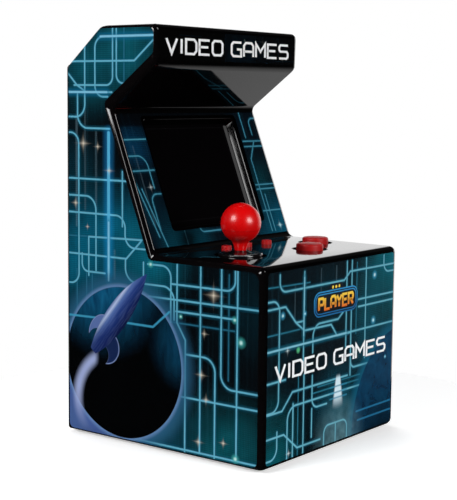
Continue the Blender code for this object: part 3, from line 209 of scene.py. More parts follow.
def edge_lamp(name, direction, distance, rise, length, width, strength, piece):
    """A lamp for one piece.  Its long side follows the slope, and rise shifts it along that side."""
    lamp = bpy.data.lights.new(name, "AREA")
    lamp.shape = "RECTANGLE"
    lamp.size, lamp.size_y = width, length
    lamp.energy = strength * math.pi * width * length
    lit = bpy.data.objects.new(name, lamp)
    bpy.context.scene.collection.objects.link(lit)
    outward = Vector(direction).normalized()
    tall = (SLOPE - outward * SLOPE.dot(outward)).normalized()
    turn = Matrix((tall.cross(outward), tall, outward)).transposed()
    lit.matrix_world = Matrix.Translation(Vector((0, 0, 0.09)) + outward * distance + tall * rise) @ turn.to_4x4()
    linked = bpy.data.collections.new(f"{name}_lights")
    linked.objects.link(nodes[piece])
    lit.light_linking.receiver_collection = linked
    print(name, [round(v, 2) for v in lit.location])


edge_lamp("side_strip_lamp", (-0.970, -0.154, 0.180), 0.55, 0.045, 0.17, 0.05, 8.0, "front_housing")
edge_lamp("front_strip_lamp", (-0.134, -0.875, 0.461), 0.55, 0.045, 0.17, 0.06, 10.0, "front_housing")
edge_lamp("rocker_lamp", (-0.1, 0.1, 1.0), 0.4, 0.0, 0.5, 0.5, 6.0, "dpad_rocker")

# %% [markdown]
# The backdrop is the world's own light.  It is white where the camera looks and in a band behind the cabinet, about as
# tall as a studio's paper roll, and dimmer below the table's edge.  Everywhere else is dark, like the black cards that
# stand beside a glossy object in a studio.

# %% Backdrop
world = bpy.data.worlds.new("studio")
bpy.context.scene.world = world
world.use_nodes = True
sky = world.node_tree
TOWARDS_BACKDROP = (0.76, 0.60, -0.10)
sky.nodes.clear()
direction = add_node(sky, "ShaderNodeTexCoord").outputs["Generated"]
facing = add_node(sky, "ShaderNodeVectorMath", {0: direction, 1: TOWARDS_BACKDROP}, operation="DOT_PRODUCT")
behind = add_node(
    sky,
    "ShaderNodeMapRange",
    {"Value": facing, "From Min": 0.40, "From Max": 0.56, "To Min": 0.01, "To Max": 1.0},
    interpolation_type="SMOOTHSTEP",
)
height = add_node(sky, "ShaderNodeSeparateXYZ", {0: direction}).outputs[2]
lower = add_node(
    sky, "ShaderNodeMapRange", {"Value": height, "From Min": -0.4, "From Max": 0.0, "To Min": 0.55, "To Max": 1.3}
)
above = add_node(
    sky,
    "ShaderNodeMapRange",
    {"Value": height, "From Min": 0.22, "From Max": 0.42, "To Min": 1.0, "To Max": 0.02},
    interpolation_type="SMOOTHSTEP",
)
tall = add_node(sky, "ShaderNodeMath", {0: lower, 1: above}, operation="MULTIPLY")
mirrored = add_node(sky, "ShaderNodeMath", {0: behind, 1: tall}, operation="MULTIPLY")
seen = add_node(sky, "ShaderNodeLightPath").outputs["Is Camera Ray"]
brightness = add_node(sky, "ShaderNodeMix", {"Factor": seen, "A": mirrored, "B": 1.0})
background = add_node(sky, "ShaderNodeBackground", {"Color": (1, 1, 1, 1), "Strength": brightness})
add_node(sky, "ShaderNodeOutputWorld", {"Surface": background})
print("backdrop nodes:", len(sky.nodes))

# %% [markdown]
# The table is white acrylic lit from below, which keeps only a soft shadow where the cabinet stands.  It glows for the
# camera alone: black cards lie on it just outside the picture, so the glossy walls mirror darkness instead of it.

# %% Light table
TABLE_RADIUS = 0.13  # m
TABLE_GLOW = 0.46
bpy.ops.mesh.primitive_circle_add(vertices=96, radius=TABLE_RADIUS, fill_type="NGON", location=(0.0, 0.0, -0.0002))
table = bpy.context.object
table.name = "light_table"
made, tree, shader, _ = start_material("white_acrylic_table", "#F4F4F4", 0.8)
rays = add_node(tree, "ShaderNodeLightPath")
glow = add_node(tree, "ShaderNodeMath", {0: rays.outputs["Is Camera Ray"], 1: TABLE_GLOW}, operation="MULTIPLY")
set_inputs(tree, shader, {"Emission Strength": glow})
shader.inputs["Emission Color"].default_value = (1, 1, 1, 1)
card = add_node(tree, "ShaderNodeBsdfDiffuse", {"Color": (0.01, 0.01, 0.01, 1)})
either = add_node(tree, "ShaderNodeMixShader", {0: rays.outputs["Is Glossy Ray"], 1: shader, 2: card})
set_inputs(tree, tree.nodes["Material Output"], {"Surface": either})
table.data.materials.append(made)
print("table radius", TABLE_RADIUS)

# %% [markdown]
# ## Gloss black ABS
#
# The shell is moulded ABS with a polished mould face.  It is almost black, and its look is the reflection, which is
# broken only by a faint waviness where the plastic shrank, and by a slight haze from handling.  The waves are about
# 6 mm apart, and the haze changes over about 15 mm.

# %% The shell
made, tree, shader, place = start_material("gloss_black_moulded_abs", "#090708", 0.06, ior=1.49)
haze = add_node(tree, "ShaderNodeTexNoise", {"Vector": place, "Scale": 65.0, "Detail": 4.0})
gloss = add_node(
    tree, "ShaderNodeMapRange", {"Value": haze, "From Min": 0.3, "From Max": 0.7, "To Min": 0.04, "To Max": 0.09}
)
set_inputs(tree, shader, {"Roughness": gloss})
waves = add_node(tree, "ShaderNodeTexNoise", {"Vector": place, "Scale": 160.0, "Detail": 1.0})
bump = add_node(tree, "ShaderNodeBump", {"Height": waves, "Strength": 0.06, "Distance": 0.00005})
set_inputs(tree, shader, {"Normal": bump})
finish_with(made, "front_housing")
print("shell: haze over 15 mm, waves of 6 mm")

# %% [markdown]
# The rocker under the stick is the same plastic, but thumbs have rubbed it.  Its gloss is softer, so it hardly mirrors
# the stick's neck, and the rim keeps a bright ring.

# %% The rocker
made, tree, shader, place = start_material("rubbed_black_abs", "#080607", 0.16, ior=1.42)
rubbed = add_node(tree, "ShaderNodeTexNoise", {"Vector": place, "Scale": 400.0, "Detail": 4.0})
gloss = add_node(tree, "ShaderNodeMapRange", {"Value": rubbed, "To Min": 0.12, "To Max": 0.2})
set_inputs(tree, shader, {"Roughness": gloss})
finish_with(made, "dpad_rocker")
print("rocker roughness 0.12 to 0.20")

# %% [markdown]
# ## Textured black ABS
#
# The back cover, the battery door and the small black knobs come from a mould whose face was spark-eroded, which
# leaves a fine, even pitting of about 0.3 mm.  It scatters light, so these pieces look matt beside the shell.

# %% The back and its small parts
made, tree, shader, place = start_material("spark_textured_abs", "#141416", 0.5, ior=1.49)
pits = add_node(tree, "ShaderNodeTexVoronoi", {"Vector": place, "Scale": 3000.0})
bump = add_node(tree, "ShaderNodeBump", {"Height": pits, "Strength": 0.35, "Distance": 0.00005})
set_inputs(tree, shader, {"Normal": bump})
wear = add_node(tree, "ShaderNodeTexNoise", {"Vector": place, "Scale": 80.0, "Detail": 5.0})
gloss = add_node(tree, "ShaderNodeMapRange", {"Value": wear, "To Min": 0.38, "To Max": 0.62})
set_inputs(tree, shader, {"Roughness": gloss})
finish_with(
    made,
    "rear_cover",
    "battery_door",
    "battery_tray",
    "power_switch_knob",
    "volume_wheel",
    "volume_pot",
    "speaker_basket",
    "stick_pivot_cup",
)
print("back: pits of 0.3 mm, roughness 0.38 to 0.62")

# %% [markdown]
# ## The printed film
#
# Each flat face carries one sticker: a dark drawing of glowing circuit paths on vinyl, under a clear gloss laminate.
# It could be painted as a picture, but a picture has a fixed size.  Here the drawing is worked out at every point: a
# path is written as the corners that it turns, and the ink gets brighter as a point gets nearer to it.  All lengths
# are millimetres on the face.


# %% Places on a face
def face_point(tree, place, across, up, start):
    """A point's place on a flat face, in mm from its start along two directions, and the two numbers apart."""
    local = add_node(tree, "ShaderNodeVectorMath", {0: place, 1: start}, operation="SUBTRACT")
    parts = []
    for axis in (across, up):
        along = tuple(Vector(axis) / MM)
        part = add_node(tree, "ShaderNodeVectorMath", {0: local, 1: along}, operation="DOT_PRODUCT")
        parts.append(part)
    return add_node(tree, "ShaderNodeCombineXYZ", {0: parts[0], 1: parts[1], 2: 0.0}), parts


def beyond_zero(tree, vector):
    """The length of the part of a vector that is above zero."""
    kept = add_node(tree, "ShaderNodeVectorMath", {0: vector, 1: (0, 0, 0)}, operation="MAXIMUM")
    return add_node(tree, "ShaderNodeVectorMath", {0: kept}, operation="LENGTH")


print("one step on a face:", MM, "m")

# %% [markdown]
# A straight run is a box with no width, so the distance to it is what is left of the offset past its ends.  A bend is a
# quarter circle with a straight arm at each end.  Measured from the circle's middle, with both signs turned so that
# the quarter is positive, everything past an arm is zero, and the distance is the length of the rest less the radius.


# %% Distances to runs and bends
def run_distance(tree, point, start, end):
    middle = (Vector(start) + Vector(end)) / 2
    along = Vector(end) - Vector(start)
    if min(abs(along.x), abs(along.y)) > 1e-6:
        point = add_node(
            tree,
            "ShaderNodeVectorRotate",
            {"Vector": point, "Center": (*middle, 0), "Angle": -math.atan2(along.y, along.x)},
            rotation_type="Z_AXIS",
        )
        along = Vector((along.length, 0))
    away = add_node(tree, "ShaderNodeVectorMath", {0: point, 1: (*middle, 0)}, operation="SUBTRACT")
    folded = add_node(tree, "ShaderNodeVectorMath", {0: away}, operation="ABSOLUTE")
    half = (abs(along.x) / 2, abs(along.y) / 2, 1)
    past = add_node(tree, "ShaderNodeVectorMath", {0: folded, 1: half}, operation="SUBTRACT")
    return beyond_zero(tree, past)


def bend_distance(tree, point, before, corner, after, radius):
    arms = [Vector(before) - Vector(corner), Vector(after) - Vector(corner)]
    centre = Vector(corner) + radius * (arms[0].normalized() + arms[1].normalized())
    signs = Vector(corner) - centre
    signs = Vector((math.copysign(1, signs.x), math.copysign(1, signs.y)))
    reach = (abs(arms[0].x + arms[1].x) - radius, abs(arms[0].y + arms[1].y) - radius)
    away = add_node(tree, "ShaderNodeVectorMath", {0: point, 1: (*centre, 0)}, operation="SUBTRACT")
    turned = add_node(tree, "ShaderNodeVectorMath", {0: away, 1: (*signs, 0)}, operation="MULTIPLY")
    apart = add_node(tree, "ShaderNodeMath", {0: beyond_zero(tree, turned), 1: radius}, operation="SUBTRACT")
    apart = add_node(tree, "ShaderNodeMath", {0: apart}, operation="ABSOLUTE")
    past = add_node(
        tree,
        "ShaderNodeVectorMath",
        {0: turned, 1: (-1, -1, 0), 2: (-reach[0], -reach[1], 0)},
        operation="MULTIPLY_ADD",
    )
    return add_node(tree, "ShaderNodeMath", {0: apart, 1: beyond_zero(tree, past)}, operation="ADD")


def nearest(tree, distances):
    """The smallest of many distances."""
    least = distances[0]
    for other in distances[1:]:
        least = add_node(tree, "ShaderNodeMath", {0: least, 1: other}, operation="MINIMUM")
    return least


def path_distance(tree, point, corners, radius=4.0):
    """The distance to a path: bends where two level or upright stretches meet, and plain runs elsewhere."""
    corners = [Vector(corner) for corner in corners]
    slanted = [min(abs(v) for v in b - a) > 1e-6 for a, b in zip(corners, corners[1:])]
    found = []
    for i, (a, b) in enumerate(zip(corners, corners[1:])):
        bends = [0 < j < len(corners) - 1 and not slanted[j - 1] and not slanted[j] for j in (i, i + 1)]
        if not any(bends):
            found.append(run_distance(tree, point, a, b))
    for i in range(1, len(corners) - 1):
        if slanted[i - 1] or slanted[i]:
            continue
        ends = []
        for j, side in ((i - 1, i - 1), (i + 1, i)):
            shared = 0 < j < len(corners) - 1 and not slanted[j - 1] and not slanted[j]
            ends.append((corners[i] + corners[j]) / 2 if shared else corners[j])
        found.append(bend_distance(tree, point, ends[0], corners[i], ends[1], radius))
    return nearest(tree, found)


print("usual radius of a bend:", path_distance.__defaults__[0], "mm")

# %% [markdown]
# Ink is laid over what is already printed.  It is full up to one distance from a path and gone past another, with a
# smooth fall between.  A soft spot is the same fall around a point.  On a Mix node for colours, input 0 is the share,
# and inputs 6 and 7 are the colour underneath and the colour on top.


# %% Ink
def lay_ink(tree, under, ink, near, full, gone, strength=1.0, blend="MIX"):
    share = add_node(
        tree,
        "ShaderNodeMapRange",
        {"Value": near, "From Min": full, "From Max": gone, "To Min": strength, "To Max": 0.0},
        interpolation_type="SMOOTHSTEP",
    )
    layer = add_node(tree, "ShaderNodeMix", {0: share, 6: under, 7: ink}, data_type="RGBA", blend_type=blend)
    return layer


def soft_spot(tree, point, middle, full, gone, strength=1.0):
    away = add_node(tree, "ShaderNodeVectorMath", {0: point, 1: (*middle, 0)}, operation="DISTANCE")
    return add_node(
        tree,
        "ShaderNodeMapRange",
        {"Value": away, "From Min": full, "From Max": gone, "To Min": strength, "To Max": 0.0},
        interpolation_type="SMOOTHSTEP",
    )


print("ink tools: lay_ink, soft_spot")


# %% [markdown]
# Small lights with four rays sit on the circuit.  The sum of the square roots of a point's two offsets is small only
# near the middle and along the two axes, which is just the shape of such a light.


# %% Star lights
def star_light(tree, point, middle, reach):
    """Brightness of a small light whose rays reach that far."""
    away = add_node(tree, "ShaderNodeVectorMath", {0: point, 1: (*middle, 0)}, operation="SUBTRACT")
    folded = add_node(tree, "ShaderNodeVectorMath", {0: away}, operation="ABSOLUTE")
    split = add_node(tree, "ShaderNodeSeparateXYZ", {0: folded})
    roots = [add_node(tree, "ShaderNodeMath", {0: split.outputs[axis]}, operation="SQRT") for axis in (0, 1)]
    total = add_node(tree, "ShaderNodeMath", {0: roots[0], 1: roots[1]}, operation="ADD")
    bright = add_node(
        tree,
        "ShaderNodeMapRange",
        {"Value": total, "From Min": 0.2, "From Max": math.sqrt(2.0 * reach), "To Min": 1.0, "To Max": 0.0},
        interpolation_type="SMOOTHSTEP",
    )
    return add_node(tree, "ShaderNodeMath", {0: bright, 1: 2.4}, operation="POWER")


def strongest(tree, amounts):
    most = amounts[0]
    for other in amounts[1:]:
        most = add_node(tree, "ShaderNodeMath", {0: most, 1: other}, operation="MAXIMUM")
    return most


def print_lights(tree, point, colour, stars, bulbs, star_ink, bulb_ink):
    """Star lights, each a middle and its reach, and round bulbs, each a middle and its radius."""
    rays = strongest(tree, [star_light(tree, point, *star) for star in stars])
    colour = add_node(tree, "ShaderNodeMix", {0: rays, 6: colour, 7: star_ink}, data_type="RGBA")
    for share, strength, ink in ((1.6, 0.85, bulb_ink), (0.7, 0.8, "#D6F4F0")):
        glow = strongest(
            tree, [soft_spot(tree, point, middle, 0.1, size * share, strength) for middle, size in bulbs]
        )
        colour = add_node(tree, "ShaderNodeMix", {0: glow, 6: colour, 7: ink}, data_type="RGBA")
    return colour


print("light tools: star_light, strongest, print_lights")

# %% [markdown]
# Every film is printed in the same order: a dark ground, soft patches of teal, a fine weave of lines 0.7 mm
# apart, tall streaks of light, and the paths with their glow.  The weave is as fine as the render can show.


# %% Ground and paths
def print_ground(tree, point, parts, ground, patches, streaks):
    """patches are (middle, reach, strength, ink) and streaks are (place across, half width, strength)."""
    colour = ground
    mottle = add_node(tree, "ShaderNodeTexNoise", {"Vector": point, "Scale": 0.07, "Detail": 4.0})
    uneven = add_node(
        tree, "ShaderNodeMapRange", {"Value": mottle, "From Min": 0.3, "From Max": 0.7, "To Min": 0.5, "To Max": 1.15}
    )
    for middle, reach, strength, ink in patches:
        glow = soft_spot(tree, point, middle, 0.0, reach, strength)
        glow = add_node(tree, "ShaderNodeMath", {0: glow, 1: uneven}, operation="MULTIPLY", use_clamp=True)
        colour = add_node(tree, "ShaderNodeMix", {0: glow, 6: colour, 7: ink}, data_type="RGBA")
    stretched = add_node(tree, "ShaderNodeVectorMath", {0: point, 1: (0.8, 0.010, 1.0)}, operation="MULTIPLY")
    streak = add_node(tree, "ShaderNodeTexNoise", {"Vector": stretched, "Scale": 1.0, "Detail": 3.0})
    amount = add_node(
        tree, "ShaderNodeMapRange", {"Value": streak, "From Min": 0.55, "From Max": 0.8, "To Max": 0.22}
    )
    colour = add_node(tree, "ShaderNodeMix", {0: amount, 6: colour, 7: "#2A5A6C"}, data_type="RGBA", blend_type="ADD")
    for place, width, low, high, strength in streaks:
        beam = run_distance(tree, point, (place, low), (place, high))
        colour = lay_ink(tree, colour, "#5C7682", beam, 0.1, width, strength, blend="ADD")
    weave = [add_node(tree, "ShaderNodeMath", {0: part, 1: 0.35}, operation="PINGPONG") for part in parts]
    return lay_ink(tree, colour, "#03080B", nearest(tree, weave), 0.0, 0.16, 0.45)


def print_paths(tree, point, colour, paths, width=0.68, glow=1.4, ink="#64B4D0", halo="#0B566E", strength=1.0):
    """Paths of that ink width in mm, in a halo that reaches as far as glow."""
    near = nearest(tree, [path_distance(tree, point, *path) for path in paths])
    colour = lay_ink(tree, colour, halo, near, 0.2, glow, 0.6 * strength)
    return lay_ink(tree, colour, ink, near, 0.22 * width, 0.72 * width, strength)


print("printing tools: print_ground, print_paths")

# %% [markdown]
# ## The side stickers
#
# Both sides carry the same drawing, so the right one is a mirror image of the left.  Besides the circuit, it shows a
# blue planet in the dark and a plain pointed rocket with two fins, which climbs from the lower back corner.

# %% The side's ground
made, tree, shader, place = start_material("printed_vinyl_film_side", "#0D4A63", 0.16, ior=1.5)
point, parts = face_point(tree, place, (0, 1, 0), (0, 0, 1), (0, -DEPTH / 2 * MM, 0))
colour = print_ground(
    tree,
    point,
    parts,
    "#050B10",
    [
        ((62, 142), 26, 0.95, "#0E6474"),
        ((80, 134), 22, 0.9, "#0C5868"),
        ((88, 96), 24, 0.5, "#0A4456"),
        ((66, 76), 26, 0.9, "#0A6684"),
        ((88, 66), 28, 0.95, "#0B6C8A"),
        ((50, 70), 24, 0.95, "#0C6A80"),
        ((14, 2), 30, 0.95, "#08606C"),
        ((4, 56), 24, 0.35, "#0A3A48"),
        ((46, 4), 26, 0.8, "#0A5068"),
    ],
    [(84.8, 0.9, 78, 118, 0.5), (75.2, 0.8, 84, 112, 0.35), (80.6, 0.7, 84, 120, 0.3), (66.2, 0.8, 60, 70, 0.3)],
)
print("side ground, film nodes:", len(tree.nodes))

# %% [markdown]
# Thin dim paths lie furthest back.  The main paths cross over them, and a few stretches of those are brighter.

# %% The side's paths
fine_paths = [
    ([(84.8, 62), (84.8, 40)],),
    ([(80.0, 62), (80.0, 48)],),
    ([(77.2, 62), (77.2, 46)],),
    ([(61.8, 150), (61.8, 128)],),
    ([(88.6, 74), (60, 75)],),
    ([(14.5, 66), (14.5, 30)],),
    ([(40, 47.2), (12, 47.2)],),
]
colour = print_paths(tree, point, colour, fine_paths, 0.55, 1.0, "#2F7C9A", "#0A4258", 0.6)
side_paths = [
    ([(47, 146), (75.7, 146), (75.7, 124.8), (69.5, 124.8)],),
    ([(67.2, 150), (67.2, 128.9), (86, 128.9)], 3.0),
    ([(65.4, 150), (65.4, 129.6), (57, 129.6)], 3.0),
    ([(89, 137.4), (57, 137.4), (47.8, 144.8)],),
    ([(80.7, 143), (80.7, 117.5), (89.5, 117.5)], 4.5),
    ([(89.5, 133.6), (84.6, 128.9), (80, 126.4)],),
    ([(89.5, 126.4), (67.6, 126.4)],),
    ([(84.3, 126.4), (84.3, 113.5), (68.6, 113.5)], 5.0),
    ([(89.5, 111.8), (83.8, 111.8), (83.8, 56.6), (89.5, 56.6)], 4.0),
    ([(89, 95.2), (60.6, 95.2)],),
    ([(62.5, 98.5), (62.5, 79)],),
    ([(89.5, 89), (75.3, 89), (75.3, 62)], 5.0),
    ([(89.5, 82.8), (61.2, 82.8), (61.2, 71.6), (51.8, 71.6)], 4.5),
    ([(78.9, 60), (78.9, 74.2), (53.3, 74.8)], 3.4),
    ([(89.4, 67.6), (60.6, 67.6), (53.6, 74.4)],),
    ([(82.2, 68), (82.2, 61.4), (70.8, 61.4)], 3.0),
    ([(61.0, 67.5), (61.0, 59.4), (38.4, 59.4), (38.4, 48)], 5.0),
    ([(52.5, 67), (52.5, 61)],),
    ([(50.6, 66.6), (39.9, 66.6), (39.9, 47)], 4.0),
    ([(37.1, 67.5), (37.1, 47.3), (33.3, 41.5), (33.3, 2)],),
    ([(26.7, 68), (26.7, 3)],),
    ([(17.7, 68), (17.7, 26.8), (1.5, 26.8)], 5.0),
    ([(10.9, 68), (10.9, 3)],),
    ([(40, 60.6), (11.9, 60.6), (11.9, 68.5)], 3.6),
    ([(50, 55.2), (1.0, 55.2)],),
    ([(37.5, 51.2), (11.5, 51.2)],),
    ([(33.3, 36.6), (20.2, 36.6), (20.2, 2)], 5.0),
    ([(35, 21.4), (1.5, 21.4)],),
    ([(56, 2.7), (2, 2.7)],),
]
colour = print_paths(tree, point, colour, side_paths)
beam = run_distance(tree, point, (69.1, 112), (69.1, 62))
colour = lay_ink(tree, colour, "#1678B4", beam, 0.2, 3.6, 0.5, blend="ADD")
colour = lay_ink(tree, colour, "#58B8E2", beam, 0.4, 0.95, 0.95)
bright_runs = [([(47.5, 146), (73, 146)],), ([(89, 126.4), (70, 126.4)],), ([(69.1, 80), (69.1, 59)],)]
colour = print_paths(tree, point, colour, bright_runs, 0.8, 2.4, "#86CCEA", "#12709A", 0.85)
print("side drawing:", len(side_paths) + len(fine_paths), "paths")

# %% [markdown]
# The planet is a disc with a lit top, drifting cloud bands and a black lower half.  Its halo is the same circle,
# fading outwards, and is more violet low at the back, where the rocket's trail ends.

# %% The planet
PLANET_MIDDLE, PLANET_RADIUS = (62.4, 29.7), 27.5
from_middle = add_node(tree, "ShaderNodeVectorMath", {0: point, 1: (*PLANET_MIDDLE, 0)}, operation="DISTANCE")
violet = soft_spot(tree, point, (86, 4), 6.0, 44.0)
halo_ink = add_node(tree, "ShaderNodeMix", {0: violet, 6: "#2C6488", 7: "#4C66A8"}, data_type="RGBA")
corner_glow = soft_spot(tree, point, (90, 2), 4.0, 24.0, 0.85)
colour = add_node(tree, "ShaderNodeMix", {0: corner_glow, 6: colour, 7: "#4A66A0"}, data_type="RGBA")
for reach, strength, ink in ((8.0, 0.8, halo_ink), (1.8, 0.7, "#6F93C4")):
    colour = lay_ink(tree, colour, ink, from_middle, PLANET_RADIUS, PLANET_RADIUS + reach, strength)
inside = add_node(
    tree,
    "ShaderNodeMapRange",
    {
        "Value": from_middle,
        "From Min": PLANET_RADIUS - 0.15,
        "From Max": PLANET_RADIUS + 0.15,
        "To Min": 1.0,
        "To Max": 0.0,
    },
    interpolation_type="SMOOTHSTEP",
)
lit = soft_spot(tree, point, (72, 61), 6.0, 33.0)
gleam = soft_spot(tree, point, (33, 40), 2.0, 19.0, 0.55)
lit = strongest(tree, [lit, gleam])
tilted = add_node(tree, "ShaderNodeVectorMath", {0: point, 1: (0.35, 0.09, 1.0)}, operation="MULTIPLY")
bands = add_node(tree, "ShaderNodeTexNoise", {"Vector": tilted, "Scale": 1.0, "Detail": 7.0, "Distortion": 0.8})
cloud = add_node(tree, "ShaderNodeMapRange", {"Value": bands, "From Min": 0.3, "From Max": 0.7})
surface = add_node(tree, "ShaderNodeMix", {0: cloud, 6: "#0A3E60", 7: "#145F86"}, data_type="RGBA")
colour = add_node(
    tree,
    "ShaderNodeMix",
    {0: inside, 6: colour, 7: add_node(tree, "ShaderNodeMix", {0: lit, 6: "#010203", 7: surface}, data_type="RGBA")},
    data_type="RGBA",
)
crossing = nearest(
    tree,
    [path_distance(tree, point, c) for c in ([(89, 44.4), (73.5, 44.8)], [(62, 44.5), (48, 44.5), (40.6, 50.6)])],
)
colour = lay_ink(tree, colour, "#3FA0C6", crossing, 0.15, 0.6, 0.85)
print("planet radius", PLANET_RADIUS, "mm")

# %% [markdown]
# The rocket's body is what two large circles share, which is pointed at both ends.  Folding the plane along the
# rocket's middle line turns two circles into one and draws both fins at once; the fin on the far side is drawn
# narrower and further up, because the rocket is turned a little.  The trail is a soft arc.

# %% The trail, and the rocket's own axes
ROCKET_MIDDLE, ROCKET_LEAN = (65.0, 46.3), 40.2
HULL_HALF_LENGTH, HULL_HALF_WIDTH = 22.0, 4.9
trail_from = add_node(tree, "ShaderNodeVectorMath", {0: point, 1: (66.2, 14.0, 0)}, operation="DISTANCE")
off_arc = add_node(tree, "ShaderNodeMath", {0: trail_from, 1: 18.4}, operation="SUBTRACT")
off_arc = add_node(tree, "ShaderNodeMath", {0: off_arc}, operation="ABSOLUTE")
along = soft_spot(tree, point, (80.0, 23.0), 5.0, 23.0)
soft = add_node(
    tree,
    "ShaderNodeMapRange",
    {"Value": off_arc, "From Min": 0.2, "From Max": 3.4, "To Min": 0.95, "To Max": 0.0},
    interpolation_type="SMOOTHSTEP",
)
outside = add_node(
    tree,
    "ShaderNodeMapRange",
    {"Value": parts[0], "From Min": 73.5, "From Max": 76.5},
    interpolation_type="SMOOTHSTEP",
)
amount = add_node(tree, "ShaderNodeMath", {0: soft, 1: along}, operation="MULTIPLY")
amount = add_node(tree, "ShaderNodeMath", {0: amount, 1: outside}, operation="MULTIPLY")
colour = add_node(tree, "ShaderNodeMix", {0: amount, 6: colour, 7: "#A3B0DC"}, data_type="RGBA")
upright = add_node(
    tree,
    "ShaderNodeVectorRotate",
    {"Vector": point, "Center": (*ROCKET_MIDDLE, 0), "Angle": -math.radians(ROCKET_LEAN)},
    rotation_type="Z_AXIS",
)
own = add_node(tree, "ShaderNodeVectorMath", {0: upright, 1: (*ROCKET_MIDDLE, 0)}, operation="SUBTRACT")
split = add_node(tree, "ShaderNodeSeparateXYZ", {0: own})
bow = (HULL_HALF_LENGTH**2 - HULL_HALF_WIDTH**2) / (2 * HULL_HALF_WIDTH)
print("rocket length", 2 * HULL_HALF_LENGTH, "mm")

# %% Fins and hull
narrowed = add_node(tree, "ShaderNodeMath", {0: split.outputs[0], 1: 1.32}, operation="MULTIPLY")
mirrored = add_node(tree, "ShaderNodeMath", {0: split.outputs[0], 1: -1.0}, operation="MULTIPLY")
fin_x = add_node(tree, "ShaderNodeMath", {0: narrowed, 1: mirrored}, operation="MAXIMUM")
far_side = add_node(tree, "ShaderNodeMath", {0: split.outputs[0], 1: 0.0}, operation="GREATER_THAN")
fin_y = add_node(tree, "ShaderNodeMath", {0: far_side, 1: -2.6, 2: split.outputs[1]}, operation="MULTIPLY_ADD")
fin_point = add_node(tree, "ShaderNodeCombineXYZ", {0: fin_x, 1: fin_y, 2: 0.0})
hollow = soft_spot(tree, fin_point, (3.4, -16.6), 3.9, 4.2)
solid = add_node(tree, "ShaderNodeMath", {0: 1.0, 1: hollow}, operation="SUBTRACT")
for size, fin_ink in ((6.3, "#7C90C0"), (5.95, None)):
    lobe = soft_spot(tree, fin_point, (3.6, -12.4), size - 0.15, size + 0.15)
    lobe = add_node(tree, "ShaderNodeMath", {0: lobe, 1: solid}, operation="MULTIPLY")
    if fin_ink is None:
        fin_ink = add_node(tree, "ShaderNodeMix", {0: far_side, 6: "#16264F", 7: "#5A70A8"}, data_type="RGBA")
    colour = add_node(tree, "ShaderNodeMix", {0: lobe, 6: colour, 7: fin_ink}, data_type="RGBA")
folded_x = add_node(tree, "ShaderNodeMath", {0: split.outputs[0]}, operation="ABSOLUTE")
folded = add_node(tree, "ShaderNodeCombineXYZ", {0: folded_x, 1: split.outputs[1], 2: 0.0})
edge = bow + HULL_HALF_WIDTH
hull = soft_spot(tree, folded, (-bow, 0), edge - 0.15, edge + 0.15)
tail = soft_spot(tree, own, (0, -8.0), 10.2, 10.5)
front_part = add_node(tree, "ShaderNodeMath", {0: split.outputs[1], 1: -8.0}, operation="GREATER_THAN")
kept = strongest(tree, [tail, front_part])
hull = add_node(tree, "ShaderNodeMath", {0: hull, 1: kept}, operation="MULTIPLY")
skin = add_node(tree, "ShaderNodeValToRGB")
turned_by = add_node(tree, "ShaderNodeMapRange", {"Value": split.outputs[0], "From Min": -4.9, "From Max": 4.9})
set_inputs(tree, skin, {0: turned_by})
skin.color_ramp.elements[0].color = linear_colour("#0A1236")
skin.color_ramp.elements[1].color = linear_colour("#4A6AA6")
for stop, ink in ((0.25, "#14225A"), (0.55, "#263E80"), (0.76, "#5874B4"), (0.88, "#B4C6E8")):
    skin.color_ramp.elements.new(stop).color = linear_colour(ink)
low_part = soft_spot(tree, own, (0, -22.0), 4.0, 22.0, 0.7)
painted = add_node(tree, "ShaderNodeMix", {0: low_part, 6: skin, 7: "#14225A"}, data_type="RGBA")
grain = add_node(tree, "ShaderNodeVectorMath", {0: own, 1: (1.6, 0.16, 1.0)}, operation="MULTIPLY")
brushed = add_node(tree, "ShaderNodeTexNoise", {"Vector": grain, "Scale": 0.8, "Detail": 4.0})
brushed = add_node(tree, "ShaderNodeMapRange", {"Value": brushed, "From Min": 0.45, "From Max": 0.8, "To Max": 0.2})
colour = add_node(
    tree,
    "ShaderNodeMix",
    {0: hull, 6: colour, 7: add_node(tree, "ShaderNodeMix", {0: brushed, 6: painted, 7: "#7E96C8"}, data_type="RGBA")},
    data_type="RGBA",
)
print("rocket leans", ROCKET_LEAN, "degrees")

# %% The side's small lights, and its sticker
colour = print_lights(
    tree,
    point,
    colour,
    [
        ((81.5, 108.0), 4.6),
        ((74.4, 107.0), 2.6),
        ((68.9, 98.6), 3.2),
        ((85.4, 86.2), 3.2),
        ((79.5, 77.8), 1.8),
        ((21.1, 58.4), 5.4),
        ((25.0, 44.8), 2.6),
        ((26.2, 30.3), 3.6),
        ((24.0, 21.9), 2.8),
        ((27.2, 6.6), 3.2),
        ((16.4, 8.0), 2.6),
    ],
    [((9.3, 43.6), 1.6), ((12.0, 51.0), 1.1), ((11.2, 3.4), 1.4), ((49.2, 66.6), 1.1), ((35.4, 49.6), 0.8)],
    "#E8DCC8",
    "#46B8B4",
)
set_inputs(tree, shader, {"Base Color": colour})
handled = add_node(tree, "ShaderNodeTexNoise", {"Vector": point, "Scale": 0.08, "Detail": 5.0})
gloss = add_node(tree, "ShaderNodeMapRange", {"Value": handled, "To Min": 0.10, "To Max": 0.22})
set_inputs(tree, shader, {"Roughness": gloss})
finish_with(made, "left_side_sticker", "right_side_sticker")
print("side film nodes:", len(tree.nodes))

# %% [markdown]
# ## The front sticker
#
# The front has the same paths, a second planet at its lower right, and a pale upright beam of light under the
# lettering.

